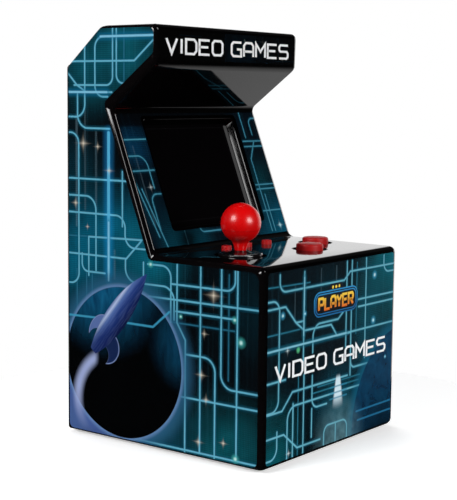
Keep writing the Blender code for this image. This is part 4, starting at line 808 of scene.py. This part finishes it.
# %% The front's ground
made, tree, shader, place = start_material("printed_vinyl_film_front", "#0D4A63", 0.16, ior=1.5)
point, parts = face_point(tree, place, (1, 0, 0), (0, 0, 1), (0, 0, 0))
colour = print_ground(
    tree,
    point,
    parts,
    "#06141B",
    [
        ((44, 62), 34, 1.0, "#0A7484"),
        ((24, 48), 24, 0.7, "#0A5262"),
        ((-40, 6), 26, 0.9, "#085C66"),
        ((-4, 54), 18, 0.4, "#0A3E4C"),
        ((4, 16), 22, 0.85, "#0C5468"),
        ((24, 32), 16, 0.6, "#0A5266"),
        ((-30, 46), 14, 0.35, "#0A3A48"),
    ],
    [(0.8, 0.6, 56, 66, 0.35), (-25.0, 0.5, 50, 62, 0.3), (-9, 0.6, 50, 66, 0.25)],
)
print("front ground, film nodes:", len(tree.nodes))

# %% [markdown]
# The front's paths are laid in the same order, from the thin dim ones to the bright stretches.

# %% The front's paths
fine_paths = [
    ([(-41, 62.6), (-16, 62.0)],),
    ([(-41, 46.4), (-22, 46.4)],),
    ([(-10, 24.2), (18, 24.2)],),
    ([(-14, 22.4), (17, 22.4)],),
    ([(20, 4.2), (41, 4.2)],),
    ([(18, 7.0), (41, 7.0)],),
    ([(-22.2, 30), (-22.2, 2)],),
    ([(14.6, 66), (14.6, 40)],),
]
colour = print_paths(tree, point, colour, fine_paths, 0.5, 1.0, "#2F7C94", "#0A4252", 0.7)
front_paths = [
    ([(-19.4, 66), (-19.4, 33)],),
    ([(-34, 66.5), (-34, 60.4), (6, 60.4), (10, 63.2), (41, 63.2)], 3.6),
    ([(7.8, 67), (7.8, 36)],),
    ([(11.2, 67), (11.2, 25)],),
    ([(21.0, 67), (21.0, 30)],),
    ([(41, 60.6), (33.5, 60.6), (33.5, 67)], 3.6),
    ([(-41, 55.2), (-30.5, 55.2), (-24.2, 49.0), (-19.4, 49.0)],),
    ([(-24.2, 49.0), (-19.0, 45.6), (-2.1, 45.4), (2.0, 40.8), (11, 40.8)],),
    ([(-41, 41.0), (41, 41.0)],),
    ([(16, 52.3), (41, 52.3)],),
    ([(16, 49.6), (41, 49.6)],),
    ([(-41, 57.8), (-34, 57.8), (-34, 20.0), (-41, 20.0)], 4.0),
    ([(-13.6, 37), (-13.6, 46.8), (2.4, 46.8), (5.8, 49)], 4.4),
    ([(-41, 30.2), (-30, 30.2)],),
    ([(-41, 19.6), (-31.8, 19.6), (-25.7, 25.2), (9.4, 25.2)],),
    ([(-28.6, 2), (-28.6, 20.2), (22, 20.2)], 5.0),
    ([(-25.2, 21), (-25.2, 1)],),
    ([(-18.8, 30), (-18.8, 1)],),
    ([(-13.6, 29), (-13.6, 17.2), (-4, 17.2)], 3.6),
    ([(-13.6, 17), (-13.6, 7)],),
    ([(-41, 11.2), (-30.6, 11.2), (-22.4, 5.0), (-8, 5.0)],),
    ([(-41, 3.6), (-34.6, 3.6), (-34.6, 13)], 4.0),
    ([(-5.6, 1), (-5.6, 9.2), (9.6, 9.2), (9.6, 1)], 3.0),
    ([(11.4, 31), (11.4, 27.6), (26, 27.6)], 2.6),
    ([(2, 9), (2, 1)],),
]
colour = print_paths(tree, point, colour, front_paths, 0.66, 1.3, "#6AB4C8")
bright_runs = [([(-19.4, 64), (-19.4, 44)],), ([(-41, 41.0), (8, 41.0)],)]
colour = print_paths(tree, point, colour, bright_runs, 0.7, 2.0, "#8CCBE0", "#106880", 0.75)
print("front drawing:", len(front_paths) + len(fine_paths), "paths")

# %% [markdown]
# Only the upper left of the second planet is on the front.  Two thin lines cross it.

# %% The second planet
from_middle = add_node(tree, "ShaderNodeVectorMath", {0: point, 1: (49.5, 2.5, 0)}, operation="DISTANCE")
colour = lay_ink(tree, colour, "#136A8C", from_middle, 36.5, 42.0, 0.55)
inside = add_node(
    tree,
    "ShaderNodeMapRange",
    {"Value": from_middle, "From Min": 36.2, "From Max": 36.6, "To Min": 1.0, "To Max": 0.0},
    interpolation_type="SMOOTHSTEP",
)
bands = add_node(tree, "ShaderNodeTexNoise", {"Vector": point, "Scale": 0.2, "Detail": 7.0, "Distortion": 1.0})
cloud = add_node(tree, "ShaderNodeMapRange", {"Value": bands, "From Min": 0.3, "From Max": 0.7})
surface = add_node(tree, "ShaderNodeMix", {0: cloud, 6: "#0A2C48", 7: "#0D4262"}, data_type="RGBA")
shade = soft_spot(tree, point, (34, -8), 6.0, 30.0, 0.9)
surface = add_node(tree, "ShaderNodeMix", {0: shade, 6: surface, 7: "#04141F"}, data_type="RGBA")
seam = nearest(
    tree, [run_distance(tree, point, *ends) for ends in (((17, 7.0), (41, 7.0)), ((16, 10.5), (41, 10.5)))]
)
surface = lay_ink(tree, surface, "#2C86B4", seam, 0.15, 0.5, 0.6)
colour = add_node(tree, "ShaderNodeMix", {0: inside, 6: colour, 7: surface}, data_type="RGBA")
print("second planet radius 36.4 mm")

# %% [markdown]
# The beam widens towards its foot, where dim stripes cross it and it ends in mist.

# %% The beam
widening = add_node(
    tree, "ShaderNodeMapRange", {"Value": parts[1], "From Min": 12.0, "From Max": 27.0, "To Min": 4.2, "To Max": 1.2}
)
off_beam = add_node(tree, "ShaderNodeMath", {0: parts[0], 1: 3.2}, operation="SUBTRACT")
off_beam = add_node(tree, "ShaderNodeMath", {0: off_beam}, operation="ABSOLUTE")
off_beam = add_node(tree, "ShaderNodeMath", {0: off_beam, 1: widening}, operation="DIVIDE")
upper_end = add_node(
    tree,
    "ShaderNodeMapRange",
    {"Value": parts[1], "From Min": 24.6, "From Max": 27.0, "To Min": 1.0, "To Max": 0.0},
    interpolation_type="SMOOTHSTEP",
)
lower_end = soft_spot(tree, point, (3.2, 25), 5.5, 11.5)
amount = add_node(
    tree,
    "ShaderNodeMath",
    {
        0: add_node(
            tree,
            "ShaderNodeMapRange",
            {"Value": off_beam, "From Min": 0.7, "From Max": 1.15, "To Min": 1.0, "To Max": 0.0},
            interpolation_type="SMOOTHSTEP",
        ),
        1: upper_end,
    },
    operation="MULTIPLY",
)
amount = add_node(tree, "ShaderNodeMath", {0: amount, 1: lower_end}, operation="MULTIPLY")
colour = add_node(tree, "ShaderNodeMix", {0: amount, 6: colour, 7: "#D8EEF8"}, data_type="RGBA")
stripes = nearest(tree, [run_distance(tree, point, (-2, z), (9, z)) for z in (22.4, 20.2, 18.2)])
colour = lay_ink(tree, colour, "#2E86A8", stripes, 0.1, 0.5, 0.7)
mist = soft_spot(tree, point, (4, 2), 2.0, 20.0, 0.9)
drift = add_node(tree, "ShaderNodeTexNoise", {"Vector": point, "Scale": 0.3, "Detail": 6.0})
amount = add_node(tree, "ShaderNodeMath", {0: mist, 1: drift}, operation="MULTIPLY")
colour = add_node(tree, "ShaderNodeMix", {0: amount, 6: colour, 7: "#6E9CA8"}, data_type="RGBA")
print("beam half width 1.2 to 4.2 mm")

# %% The front's small lights, and its sticker
colour = print_lights(
    tree,
    point,
    colour,
    [((-29.0, 40.0), 2.4), ((14.0, 33.0), 2.0), ((-27.6, 4.0), 2.4)],
    [((-32.1, 52.4), 1.2), ((-18.8, 51.4), 0.9), ((26.7, 43.2), 1.4), ((27.0, 60.2), 1.4), ((36.0, 28.0), 0.7)],
    "#E4EEF0",
    "#3AA4CC",
)
colour = add_node(
    tree,
    "ShaderNodeMix",
    {0: soft_spot(tree, point, (-22.6, 39.3), 0.2, 1.5, 0.9), 6: colour, 7: "#5CC98A"},
    data_type="RGBA",
)
set_inputs(tree, shader, {"Base Color": colour})
finish_with(made, "front_sticker")
print("front film nodes:", len(tree.nodes))

# %% [markdown]
# ## The screen surround
#
# This sticker frames the screen.  Its circuit is finer than on the sides, and painted shade from the canopy darkens the
# top of its left part.

# %% The surround's ground
PANEL_FOOT = Vector((0, (48.4 - DEPTH / 2) * MM, 70.0 * MM))
PANEL_UP = Vector((0, 68.1 - 48.4, 120.4 - 70.0)).normalized()
made, tree, shader, place = start_material("printed_vinyl_film_surround", "#0D4A63", 0.16, ior=1.5)
point, parts = face_point(tree, place, (1, 0, 0), tuple(PANEL_UP), tuple(PANEL_FOOT))
colour = print_ground(
    tree,
    point,
    parts,
    "#04101A",
    [
        ((-36, 40), 12, 0.8, "#0B4468"),
        ((40, 2), 24, 1.0, "#0A6684"),
        ((34, 24), 14, 0.55, "#074852"),
        ((-22, 0), 20, 0.9, "#0A5A70"),
        ((-38, 14), 14, 0.45, "#0A3C50"),
    ],
    [(-37, 0.6, 10, 40, 0.25)],
)
print("surround ground, film nodes:", len(tree.nodes))

# %% [markdown]
# Most of its paths run down the two sides of the screen, and the painted canopy shade at the top hides what reaches it.

# %% The surround's paths
surround_paths = [
    ([(-41, 42.6), (-29, 42.6)],),
    ([(-41, 36.4), (-31.8, 36.4), (-31.8, 24)], 4.4),
    ([(-41, 30.8), (-29, 30.8)],),
    ([(-29, 21.8), (-34.8, 21.8), (-34.8, 8)], 3.0),
    ([(-41, 26), (-36.4, 6)],),
    ([(-38.6, 24), (-33.4, 2)],),
    ([(-12.8, 9), (-12.8, 6), (-1, 6)], 2.0),
    ([(4, 8), (4, 2)],),
    ([(-22, 8), (-22, 2)],),
    ([(31.6, 54), (31.6, 42)],),
    ([(41, 50), (36.4, 50), (36.4, 43)], 2.6),
    ([(29, 40.4), (41, 40.4)],),
    ([(29, 38.2), (41, 38.2)],),
    ([(36, 40), (31, 33), (31, 3)],),
    ([(33.2, 18), (33.2, 3)],),
    ([(29, 22.2), (41, 22.2)],),
    ([(29, 20.4), (41, 20.4)],),
    ([(29, 11.4), (41, 11.4)],),
]
colour = print_paths(tree, point, colour, surround_paths, 0.55, 1.2, "#4C9CB6", "#0A4A60", 0.8)
colour = print_lights(
    tree, point, colour, [((37.2, 5.0), 3.0), ((-33.6, 24.5), 2.6)], [((37.2, 5.0), 0.8)], "#CFE0E4", "#8FD4E8"
)
# Painted shade: the film's top, left of the middle, is darkened to stand for the canopy's shadow.
painted_canopy_shade = add_node(
    tree,
    "ShaderNodeMapRange",
    {"Value": parts[1], "From Min": 47.0, "From Max": 48.2, "To Max": 0.8},
    interpolation_type="SMOOTHSTEP",
)
left_half = add_node(
    tree,
    "ShaderNodeMapRange",
    {"Value": parts[0], "From Min": 20.0, "From Max": 30.0, "To Min": 1.0, "To Max": 0.0},
    interpolation_type="SMOOTHSTEP",
)
painted_canopy_shade = add_node(tree, "ShaderNodeMath", {0: painted_canopy_shade, 1: left_half}, operation="MULTIPLY")
colour = add_node(tree, "ShaderNodeMix", {0: painted_canopy_shade, 6: colour, 7: "#040507"}, data_type="RGBA")
set_inputs(tree, shader, {"Base Color": colour})
finish_with(made, "screen_surround_sticker")
print("surround drawing:", len(surround_paths), "paths")

# %% [markdown]
# ## The header
#
# The header above the canopy is nearly black, with a deep blue glow behind the right half of its lettering.

# %% The header drawing
made, tree, shader, place = start_material("printed_vinyl_film_header", "#05080C", 0.14, ior=1.5)
point, parts = face_point(tree, place, (1, 0, 0), (0, 0, 1), (0, 0, 142.5 * MM))
cloud = add_node(tree, "ShaderNodeTexNoise", {"Vector": point, "Scale": 0.12, "Detail": 5.0})
right_half = add_node(
    tree,
    "ShaderNodeMapRange",
    {"Value": parts[0], "From Min": -6.0, "From Max": -2.0},
    interpolation_type="SMOOTHSTEP",
)
fall = add_node(
    tree,
    "ShaderNodeMapRange",
    {"Value": parts[0], "From Min": 0.0, "From Max": 46.0, "To Min": 1.0, "To Max": 0.0},
    interpolation_type="SMOOTHSTEP",
)
amount = add_node(tree, "ShaderNodeMath", {0: right_half, 1: cloud}, operation="MULTIPLY")
amount = add_node(tree, "ShaderNodeMath", {0: amount, 1: fall}, operation="MULTIPLY")
colour = add_node(tree, "ShaderNodeMix", {0: amount, 6: "#040406", 7: "#1A4A66"}, data_type="RGBA")
header_paths = [
    ([(2, 3.6), (22, 3.6)],), ([(30, 5), (30, -5)],), ([(28, -3.6), (40, -3.6)],), ([(-30, 4), (-18, 4)],)
]
colour = print_paths(tree, point, colour, header_paths, 0.4, 1.0, "#123E52", "#08202C", 0.5)
colour = print_lights(
    tree, point, colour, [((19.6, 3.4), 3.0), ((33, -3.0), 2.0)], [((8, 3.6), 0.7)], "#8E9694", "#1C5E6C"
)
set_inputs(tree, shader, {"Base Color": colour})
finish_with(made, "marquee_sticker")
print("header drawing:", len(header_paths), "paths")

# %% [markdown]
# ## Lettering
#
# The two lines of lettering are plain square capitals in white ink.  Each letter is a few strokes of one width, so a
# letter is written as the corners of its strokes, and the ink is a ribbon along them.  Where two parts of a stroke
# meet, the ribbon's edges meet on the line that halves the corner.

# %% Letters as strokes
SQUARE_CAPITALS = {
    "V": [[(0, 1), (0.5, 0), (1, 1)]],
    "I": [[(0.5, 1), (0.5, 0)]],
    "D": [[(0, 0), (0, 1), (0.78, 1), (1, 0.78), (1, 0.22), (0.78, 0), (0, 0)]],
    "E": [[(1, 1), (0, 1), (0, 0), (1, 0)], [(0, 0.52), (0.86, 0.52)]],
    "O": [[(0, 0.18), (0, 0.82), (0.18, 1), (0.82, 1), (1, 0.82), (1, 0.18), (0.82, 0), (0.18, 0), (0, 0.18)]],
    "G": [[(1, 1), (0.18, 1), (0, 0.82), (0, 0.18), (0.18, 0), (1, 0), (1, 0.5), (0.55, 0.5)]],
    "A": [[(0, 0), (0, 0.8), (0.2, 1), (0.8, 1), (1, 0.8), (1, 0)], [(0, 0.38), (1, 0.38)]],
    "M": [[(0, 0), (0, 1), (0.5, 0.42), (1, 1), (1, 0)]],
    "S": [
        [(1, 1), (0.15, 1), (0, 0.85), (0, 0.64), (0.14, 0.52), (0.86, 0.52), (1, 0.38), (1, 0.15), (0.85, 0), (0, 0)]
    ],
    "L": [[(0, 1), (0, 0), (1, 0)]],
    "P": [[(0, 0), (0, 1), (0.82, 1), (1, 0.84), (1, 0.6), (0.82, 0.44), (0, 0.44)]],
    "R": [[(0, 0), (0, 1), (0.82, 1), (1, 0.84), (1, 0.6), (0.82, 0.44), (0, 0.44)], [(0.5, 0.44), (1, 0)]],
    "Y": [[(0, 1), (0.5, 0.5), (1, 1)], [(0.5, 0.5), (0.5, 0)]],
}


def lay_on_front(name, mesh, finish, thickness):
    """A printed piece: it gets the thickness of its ink, and moves with the cabinet."""
    piece = bpy.data.objects.new(name, mesh)
    bpy.context.scene.collection.objects.link(piece)
    mesh.materials.append(finish)
    ink = piece.modifiers.new("ink_thickness", "SOLIDIFY")
    ink.thickness = thickness * MM
    ink.offset = 0
    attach(piece, "cabinet")
    return piece


def ribbon(shape, corners, width, to_point):
    """Faces along a stroke, between its two edges."""
    closed = corners[0] == corners[-1]
    points = [Vector(c) for c in (corners[:-1] if closed else corners)]
    count = len(points)
    pairs = []
    for i, here in enumerate(points):
        before = (here - points[i - 1]).normalized() if closed or i else None
        after = (points[(i + 1) % count] - here).normalized() if closed or i < count - 1 else None
        before, after = before or after, after or before
        across = (before + after).normalized()
        across = Vector((-across.y, across.x))
        reach = width / 2 / max(0.35, across.dot(Vector((-after.y, after.x))))
        pairs.append([shape.verts.new(to_point(here + across * reach * side)) for side in (1, -1)])
    for i in range(count if closed else count - 1):
        (a, b), (c, d) = pairs[i], pairs[(i + 1) % count]
        shape.faces.new((a, b, d, c))


def lettering(name, text, left, right, foot, height, upright, level, y, finish, thickness=0.03):
    """Letters spread evenly between two ends.  upright and level are the widths of the two kinds of stroke."""
    widths = [{"I": 0.25, " ": 0.35}.get(letter, 1.0) for letter in text]
    gap = 0.3
    unit = (right - left - upright) / (sum(widths) + gap * (len(text) - 1))
    squeeze = level / upright
    shape = bmesh.new()
    x = left + upright / 2
    for letter, width in zip(text, widths):
        for corners in SQUARE_CAPITALS.get(letter, []):
            spread = [
                ((x + (u if width == 1.0 else 0.5 * width) * unit) * squeeze, foot + level / 2 + v * (height - level))
                for u, v in corners
            ]
            ribbon(shape, spread, level, lambda p: (p.x / squeeze * MM, y, p.y * MM))
        x += (width + gap) * unit
    mesh = bpy.data.meshes.new(name)
    shape.to_mesh(mesh)
    shape.free()
    return lay_on_front(name, mesh, finish, thickness)


print("letters drawn:", len(SQUARE_CAPITALS))

# %% White ink
made, tree, shader, place = start_material("white_screen_ink", "#FFFFFF", 0.3, ior=1.5)
cover = add_node(tree, "ShaderNodeTexNoise", {"Vector": place, "Scale": 900.0, "Detail": 3.0})
tone = add_node(tree, "ShaderNodeMapRange", {"Value": cover, "From Min": 0.3, "From Max": 0.7})
set_inputs(
    tree,
    shader,
    {"Base Color": add_node(tree, "ShaderNodeMix", {0: tone, 6: "#F4F8FA", 7: "#FFFFFF"}, data_type="RGBA")},
)
FRONT_Y = -DEPTH / 2 * MM
MARQUEE_Y = (47.2 - DEPTH / 2) * MM
front_words = lettering(
    "front_lettering", "VIDEO GAMES", -36.6, 36.0, 30.2, 5.9, 1.2, 0.85, FRONT_Y + 0.02 * MM, made
)
header_words = lettering(
    "header_lettering", "VIDEO GAMES", -38.0, 36.9, 139.7, 5.9, 1.2, 0.85, MARQUEE_Y + 0.02 * MM, made
)
print("lettering faces:", [len(piece.data.polygons) for piece in (front_words, header_words)])

# %% [markdown]
# ## The badge
#
# Above the lettering sits a small printed badge: a dark pill with three dots on a tab, a double blue outline, and one
# plain word whose orange gets yellower towards the top.


# %% Badge shapes
def rounded_outline(left, right, low, high, radius, steps=6):
    """Corners of a rounded rectangle, as (x, z) in mm."""
    points = []
    for x, z, start in ((right, high, 0), (left, high, 90), (left, low, 180), (right, low, 270)):
        cx, cz = x - math.copysign(radius, x - (left + right) / 2), z - math.copysign(radius, z - (low + high) / 2)
        for step in range(steps + 1):
            angle = math.radians(start + 90 * step / steps)
            points.append((cx + radius * math.cos(angle), cz + radius * math.sin(angle)))
    return points


def printed_shape(name, outline, y, finish):
    """A flat patch of ink on the front face."""
    shape = bmesh.new()
    shape.faces.new([shape.verts.new((x * MM, y, z * MM)) for x, z in outline])
    mesh = bpy.data.meshes.new(name)
    shape.to_mesh(mesh)
    shape.free()
    return lay_on_front(name, mesh, finish, 0.01)


def screen_ink(name, colour, darker):
    """Printing ink that gets lighter up the badge."""
    made, tree, shader, place = start_material(name, colour, 0.25, ior=1.5)
    height = add_node(tree, "ShaderNodeSeparateXYZ", {0: place}).outputs[2]
    low, high = 50.5 * MM, 56.0 * MM
    rise = add_node(tree, "ShaderNodeMapRange", {"Value": height, "From Min": low, "From Max": high})
    set_inputs(
        tree,
        shader,
        {"Base Color": add_node(tree, "ShaderNodeMix", {0: rise, 6: darker, 7: colour}, data_type="RGBA")},
    )
    return made


print("corners of a rounded outline:", len(rounded_outline(0, 4, 0, 2, 1)))

# %% The badge itself
blue_ink = screen_ink("blue_screen_ink", "#2C8CC4", "#1468A0")
dark_ink = screen_ink("navy_screen_ink", "#0A1420", "#04080E")
orange_ink = screen_ink("orange_screen_ink", "#FFD84A", "#E2521A")
layers = (
    ("badge_tab", (-4.2, 5.6, 54.0, 60.0, 2.2), 0.014, dark_ink),
    ("badge_edge", (-13.4, 15.2, 48.9, 57.9, 3.4), 0.018, blue_ink),
    ("badge_rim", (-12.9, 14.7, 49.4, 57.4, 2.9), 0.022, dark_ink),
    ("badge_line", (-12.5, 14.3, 49.8, 57.0, 2.6), 0.026, blue_ink),
    ("badge_field", (-12.0, 13.8, 50.2, 56.6, 2.2), 0.030, dark_ink),
)
for name, measures, proud, finish in layers:
    printed_shape(name, rounded_outline(*measures), FRONT_Y + (0.045 - proud) * MM, finish)
lettering("badge_word", "PLAYER", -10.8, 12.6, 50.9, 5.0, 1.15, 0.95, FRONT_Y + 0.006 * MM, orange_ink, 0.01)
tab_dots = [rounded_outline(x - 0.55, x + 0.55, 58.2, 59.3, 0.5) for x in (-1.4, 0.7, 2.8)]
for i, dot in enumerate(tab_dots):
    printed_shape(f"badge_dot_{i + 1}", dot, FRONT_Y + 0.020 * MM, orange_ink)
print("badge pieces:", len(layers) + 1 + len(tab_dots))

# %% [markdown]
# ## The ball and the buttons
#
# The ball is moulded in red ABS in two halves of a mould, which leaves a fine line round its middle.  A ball is held
# all day, so its gloss is a little soft.  The buttons are a darker red, and their tops are slightly dished by use.

# %% Red ABS
BALL_HEIGHT = 81.2 * MM
SEAM_DROP = 2.4 * MM  # the seam lies this far under the ball's middle
made, tree, shader, place = start_material("red_moulded_abs", "#DA0608", 0.27, ior=1.5)
height = add_node(tree, "ShaderNodeSeparateXYZ", {0: place}).outputs[2]
from_seam = add_node(tree, "ShaderNodeMath", {0: height, 1: BALL_HEIGHT - SEAM_DROP}, operation="SUBTRACT")
from_seam = add_node(tree, "ShaderNodeMath", {0: from_seam}, operation="ABSOLUTE")
seam = add_node(
    tree,
    "ShaderNodeMapRange",
    {"Value": from_seam, "From Min": 0.0, "From Max": 0.4 * MM, "To Min": 1.0, "To Max": 0.0},
)
bump = add_node(tree, "ShaderNodeBump", {"Height": seam, "Strength": 0.25, "Distance": 0.00006})
set_inputs(tree, shader, {"Normal": bump})
cloud = add_node(tree, "ShaderNodeTexNoise", {"Vector": place, "Scale": 120.0, "Detail": 3.0})
gloss = add_node(tree, "ShaderNodeMapRange", {"Value": cloud, "To Min": 0.24, "To Max": 0.31})
set_inputs(tree, shader, {"Roughness": gloss})
set_inputs(tree, shader, {"Base Color": lay_ink(tree, "#DA0608", "#A00608", from_seam, 0.0, 0.4 * MM, 0.35)})
finish_with(made, "joystick")

made, tree, shader, place = start_material("dark_red_moulded_abs", "#A81012", 0.45, ior=1.36)
cloud = add_node(tree, "ShaderNodeTexNoise", {"Vector": place, "Scale": 300.0, "Detail": 3.0})
tone = add_node(tree, "ShaderNodeMapRange", {"Value": cloud, "From Min": 0.3, "From Max": 0.7})
set_inputs(
    tree,
    shader,
    {"Base Color": add_node(tree, "ShaderNodeMix", {0: tone, 6: "#A00E10", 7: "#B61618"}, data_type="RGBA")},
)
gloss = add_node(tree, "ShaderNodeMapRange", {"Value": cloud, "To Min": 0.38, "To Max": 0.52})
set_inputs(tree, shader, {"Roughness": gloss})
finish_with(made, "button_a", "button_b", "button_reset", "button_select", "button_start")
print("ball seam at", round((BALL_HEIGHT - SEAM_DROP) / MM, 1), "mm")

# %% [markdown]
# ## The screen
#
# The lens is clear acrylic with a black border printed on its back.  With the display off, both are black, and only
# the display's edge shows, as a thin and very slightly lighter line.

# %% Screen lens
made, tree, shader, place = start_material("acrylic_screen_lens", "#040405", 0.04, ior=1.49)
point, parts = face_point(tree, place, (1, 0, 0), tuple(PANEL_UP), tuple(PANEL_FOOT))
window = path_distance(tree, point, [(-23.9, 11.6), (22.7, 11.6), (22.7, 47.6), (-23.9, 47.6), (-23.9, 11.6)], 0.6)
edge = add_node(
    tree,
    "ShaderNodeMapRange",
    {"Value": window, "From Min": 0.05, "From Max": 0.3, "To Min": 0.6, "To Max": 0.0},
    interpolation_type="SMOOTHSTEP",
)
colour = add_node(tree, "ShaderNodeMix", {0: edge, 6: "#050405", 7: "#100F11"}, data_type="RGBA")
set_inputs(tree, shader, {"Base Color": colour})
finish_with(made, "screen_lens")
print("lens nodes:", len(tree.nodes))

# %% [markdown]
# ## Inside
#
# With the battery door open, the cells and their contacts show, and the speaker shows through the grille.  The boards
# are out of sight, but they are finished as what they are.

# %% Circuit boards
made, tree, shader, place = start_material("solder_masked_fibreglass", "#0F4A30", 0.38, ior=1.55)
tracks = add_node(
    tree,
    "ShaderNodeTexBrick",
    {
        "Vector": place,
        "Color1": "#0F4A30",
        "Color2": "#12583A",
        "Mortar": "#1D7A50",
        "Scale": 220.0,
        "Mortar Size": 0.06,
    },
)
set_inputs(tree, shader, {"Base Color": tracks.outputs["Color"]})
bump = add_node(tree, "ShaderNodeBump", {"Height": tracks.outputs["Fac"], "Strength": 0.3, "Distance": 0.00003})
set_inputs(tree, shader, {"Normal": bump})
finish_with(made, "control_board", "main_board", "power_board")
print("board nodes:", len(tree.nodes))

# %% Silicone, epoxy, rubber, paper and cable
for name, colour, other, roughness, scale, pieces in (
    ("moulded_silicone", "#8B8F93", "#9CA0A4", 0.65, 400.0, ("stick_membrane", "action_membrane", "system_membrane")),
    ("epoxy_blob", "#080808", "#101010", 0.3, 500.0, ("game_chip",)),
    (
        "moulded_rubber",
        "#111111",
        "#1B1B1B",
        0.85,
        1200.0,
        ("foot_front_left", "foot_front_right", "foot_rear_left", "foot_rear_right"),
    ),
    ("pressed_paper_cone", "#19191B", "#262628", 0.9, 1500.0, ("speaker_cone",)),
    ("polyester_ribbon_cable", "#C6C2B6", "#9A968A", 0.4, 1000.0, ("display_ribbon", "control_ribbon")),
    ("pvc_lead_sleeve", "#A81014", "#C01A1C", 0.4, 900.0, ("speaker_lead", "battery_lead")),
):
    made, tree, shader, place = start_material(name, colour, roughness)
    grain = add_node(tree, "ShaderNodeTexNoise", {"Vector": place, "Scale": scale, "Detail": 4.0})
    tone = add_node(tree, "ShaderNodeMapRange", {"Value": grain, "From Min": 0.35, "From Max": 0.65})
    set_inputs(
        tree,
        shader,
        {"Base Color": add_node(tree, "ShaderNodeMix", {0: tone, 6: colour, 7: other}, data_type="RGBA")},
    )
    bump = add_node(tree, "ShaderNodeBump", {"Height": grain, "Strength": 0.25, "Distance": 0.00005})
    set_inputs(tree, shader, {"Normal": bump})
    finish_with(made, *pieces)
    print(name, "on", len(pieces), "pieces")

# %% [markdown]
# The contacts and the screws are plated steel.  Tin is soft and slightly grey, and zinc is bluer with a fine grain.

# %% Plated steel
for name, colour, roughness, scale, pieces in (
    (
        "tin_plated_spring_steel",
        "#C4C2BC",
        0.28,
        700.0,
        [
            f"contact_{kind}_{i}" for i in (1, 2, 3) for kind in ("plate", "spring")
        ] + ["lcd_module", "power_switch_body", "stick_pivot_ball"],
    ),
    (
        "zinc_plated_steel",
        "#A9ADB1",
        0.34,
        1100.0,
        [f"rear_screw_{i}" for i in range(1, 7)] + [
            f"{board}_board_screw_{side}" for board in ("control", "main") for side in ("left", "right")
        ],
    ),
):
    made, tree, shader, place = start_material(name, colour, roughness, metallic=1.0)
    grain = add_node(tree, "ShaderNodeTexNoise", {"Vector": place, "Scale": scale, "Detail": 3.0})
    gloss = add_node(
        tree, "ShaderNodeMapRange", {"Value": grain, "To Min": roughness - 0.1, "To Max": roughness + 0.12}
    )
    set_inputs(tree, shader, {"Roughness": gloss})
    finish_with(made, *pieces)
    print(name, "on", len(pieces), "pieces")

# %% [markdown]
# A cell's case is wrapped in a printed metallic sleeve.  This one is a plain slate blue with a silver shoulder.

# %% Battery sleeves
made, tree, shader, place = start_material("printed_foil_sleeve", "#2F3B4A", 0.3, metallic=0.4)
height = add_node(tree, "ShaderNodeSeparateXYZ", {0: place}).outputs[2]
middle = add_node(tree, "ShaderNodeMath", {0: height, 1: 35.5 * MM}, operation="SUBTRACT")
away = add_node(tree, "ShaderNodeMath", {0: middle}, operation="ABSOLUTE")
shoulder = add_node(tree, "ShaderNodeMapRange", {"Value": away, "From Min": 17.5 * MM, "From Max": 17.8 * MM})
brushed = add_node(tree, "ShaderNodeTexNoise", {"Vector": place, "Scale": 900.0, "Detail": 2.0})
sleeve = add_node(tree, "ShaderNodeMix", {0: brushed, 6: "#2A3646", 7: "#364558"}, data_type="RGBA")
set_inputs(
    tree,
    shader,
    {"Base Color": add_node(tree, "ShaderNodeMix", {0: shoulder, 6: sleeve, 7: "#B9BDC2"}, data_type="RGBA")},
)
finish_with(made, "battery_1", "battery_2", "battery_3")
print("sleeve nodes:", len(tree.nodes))
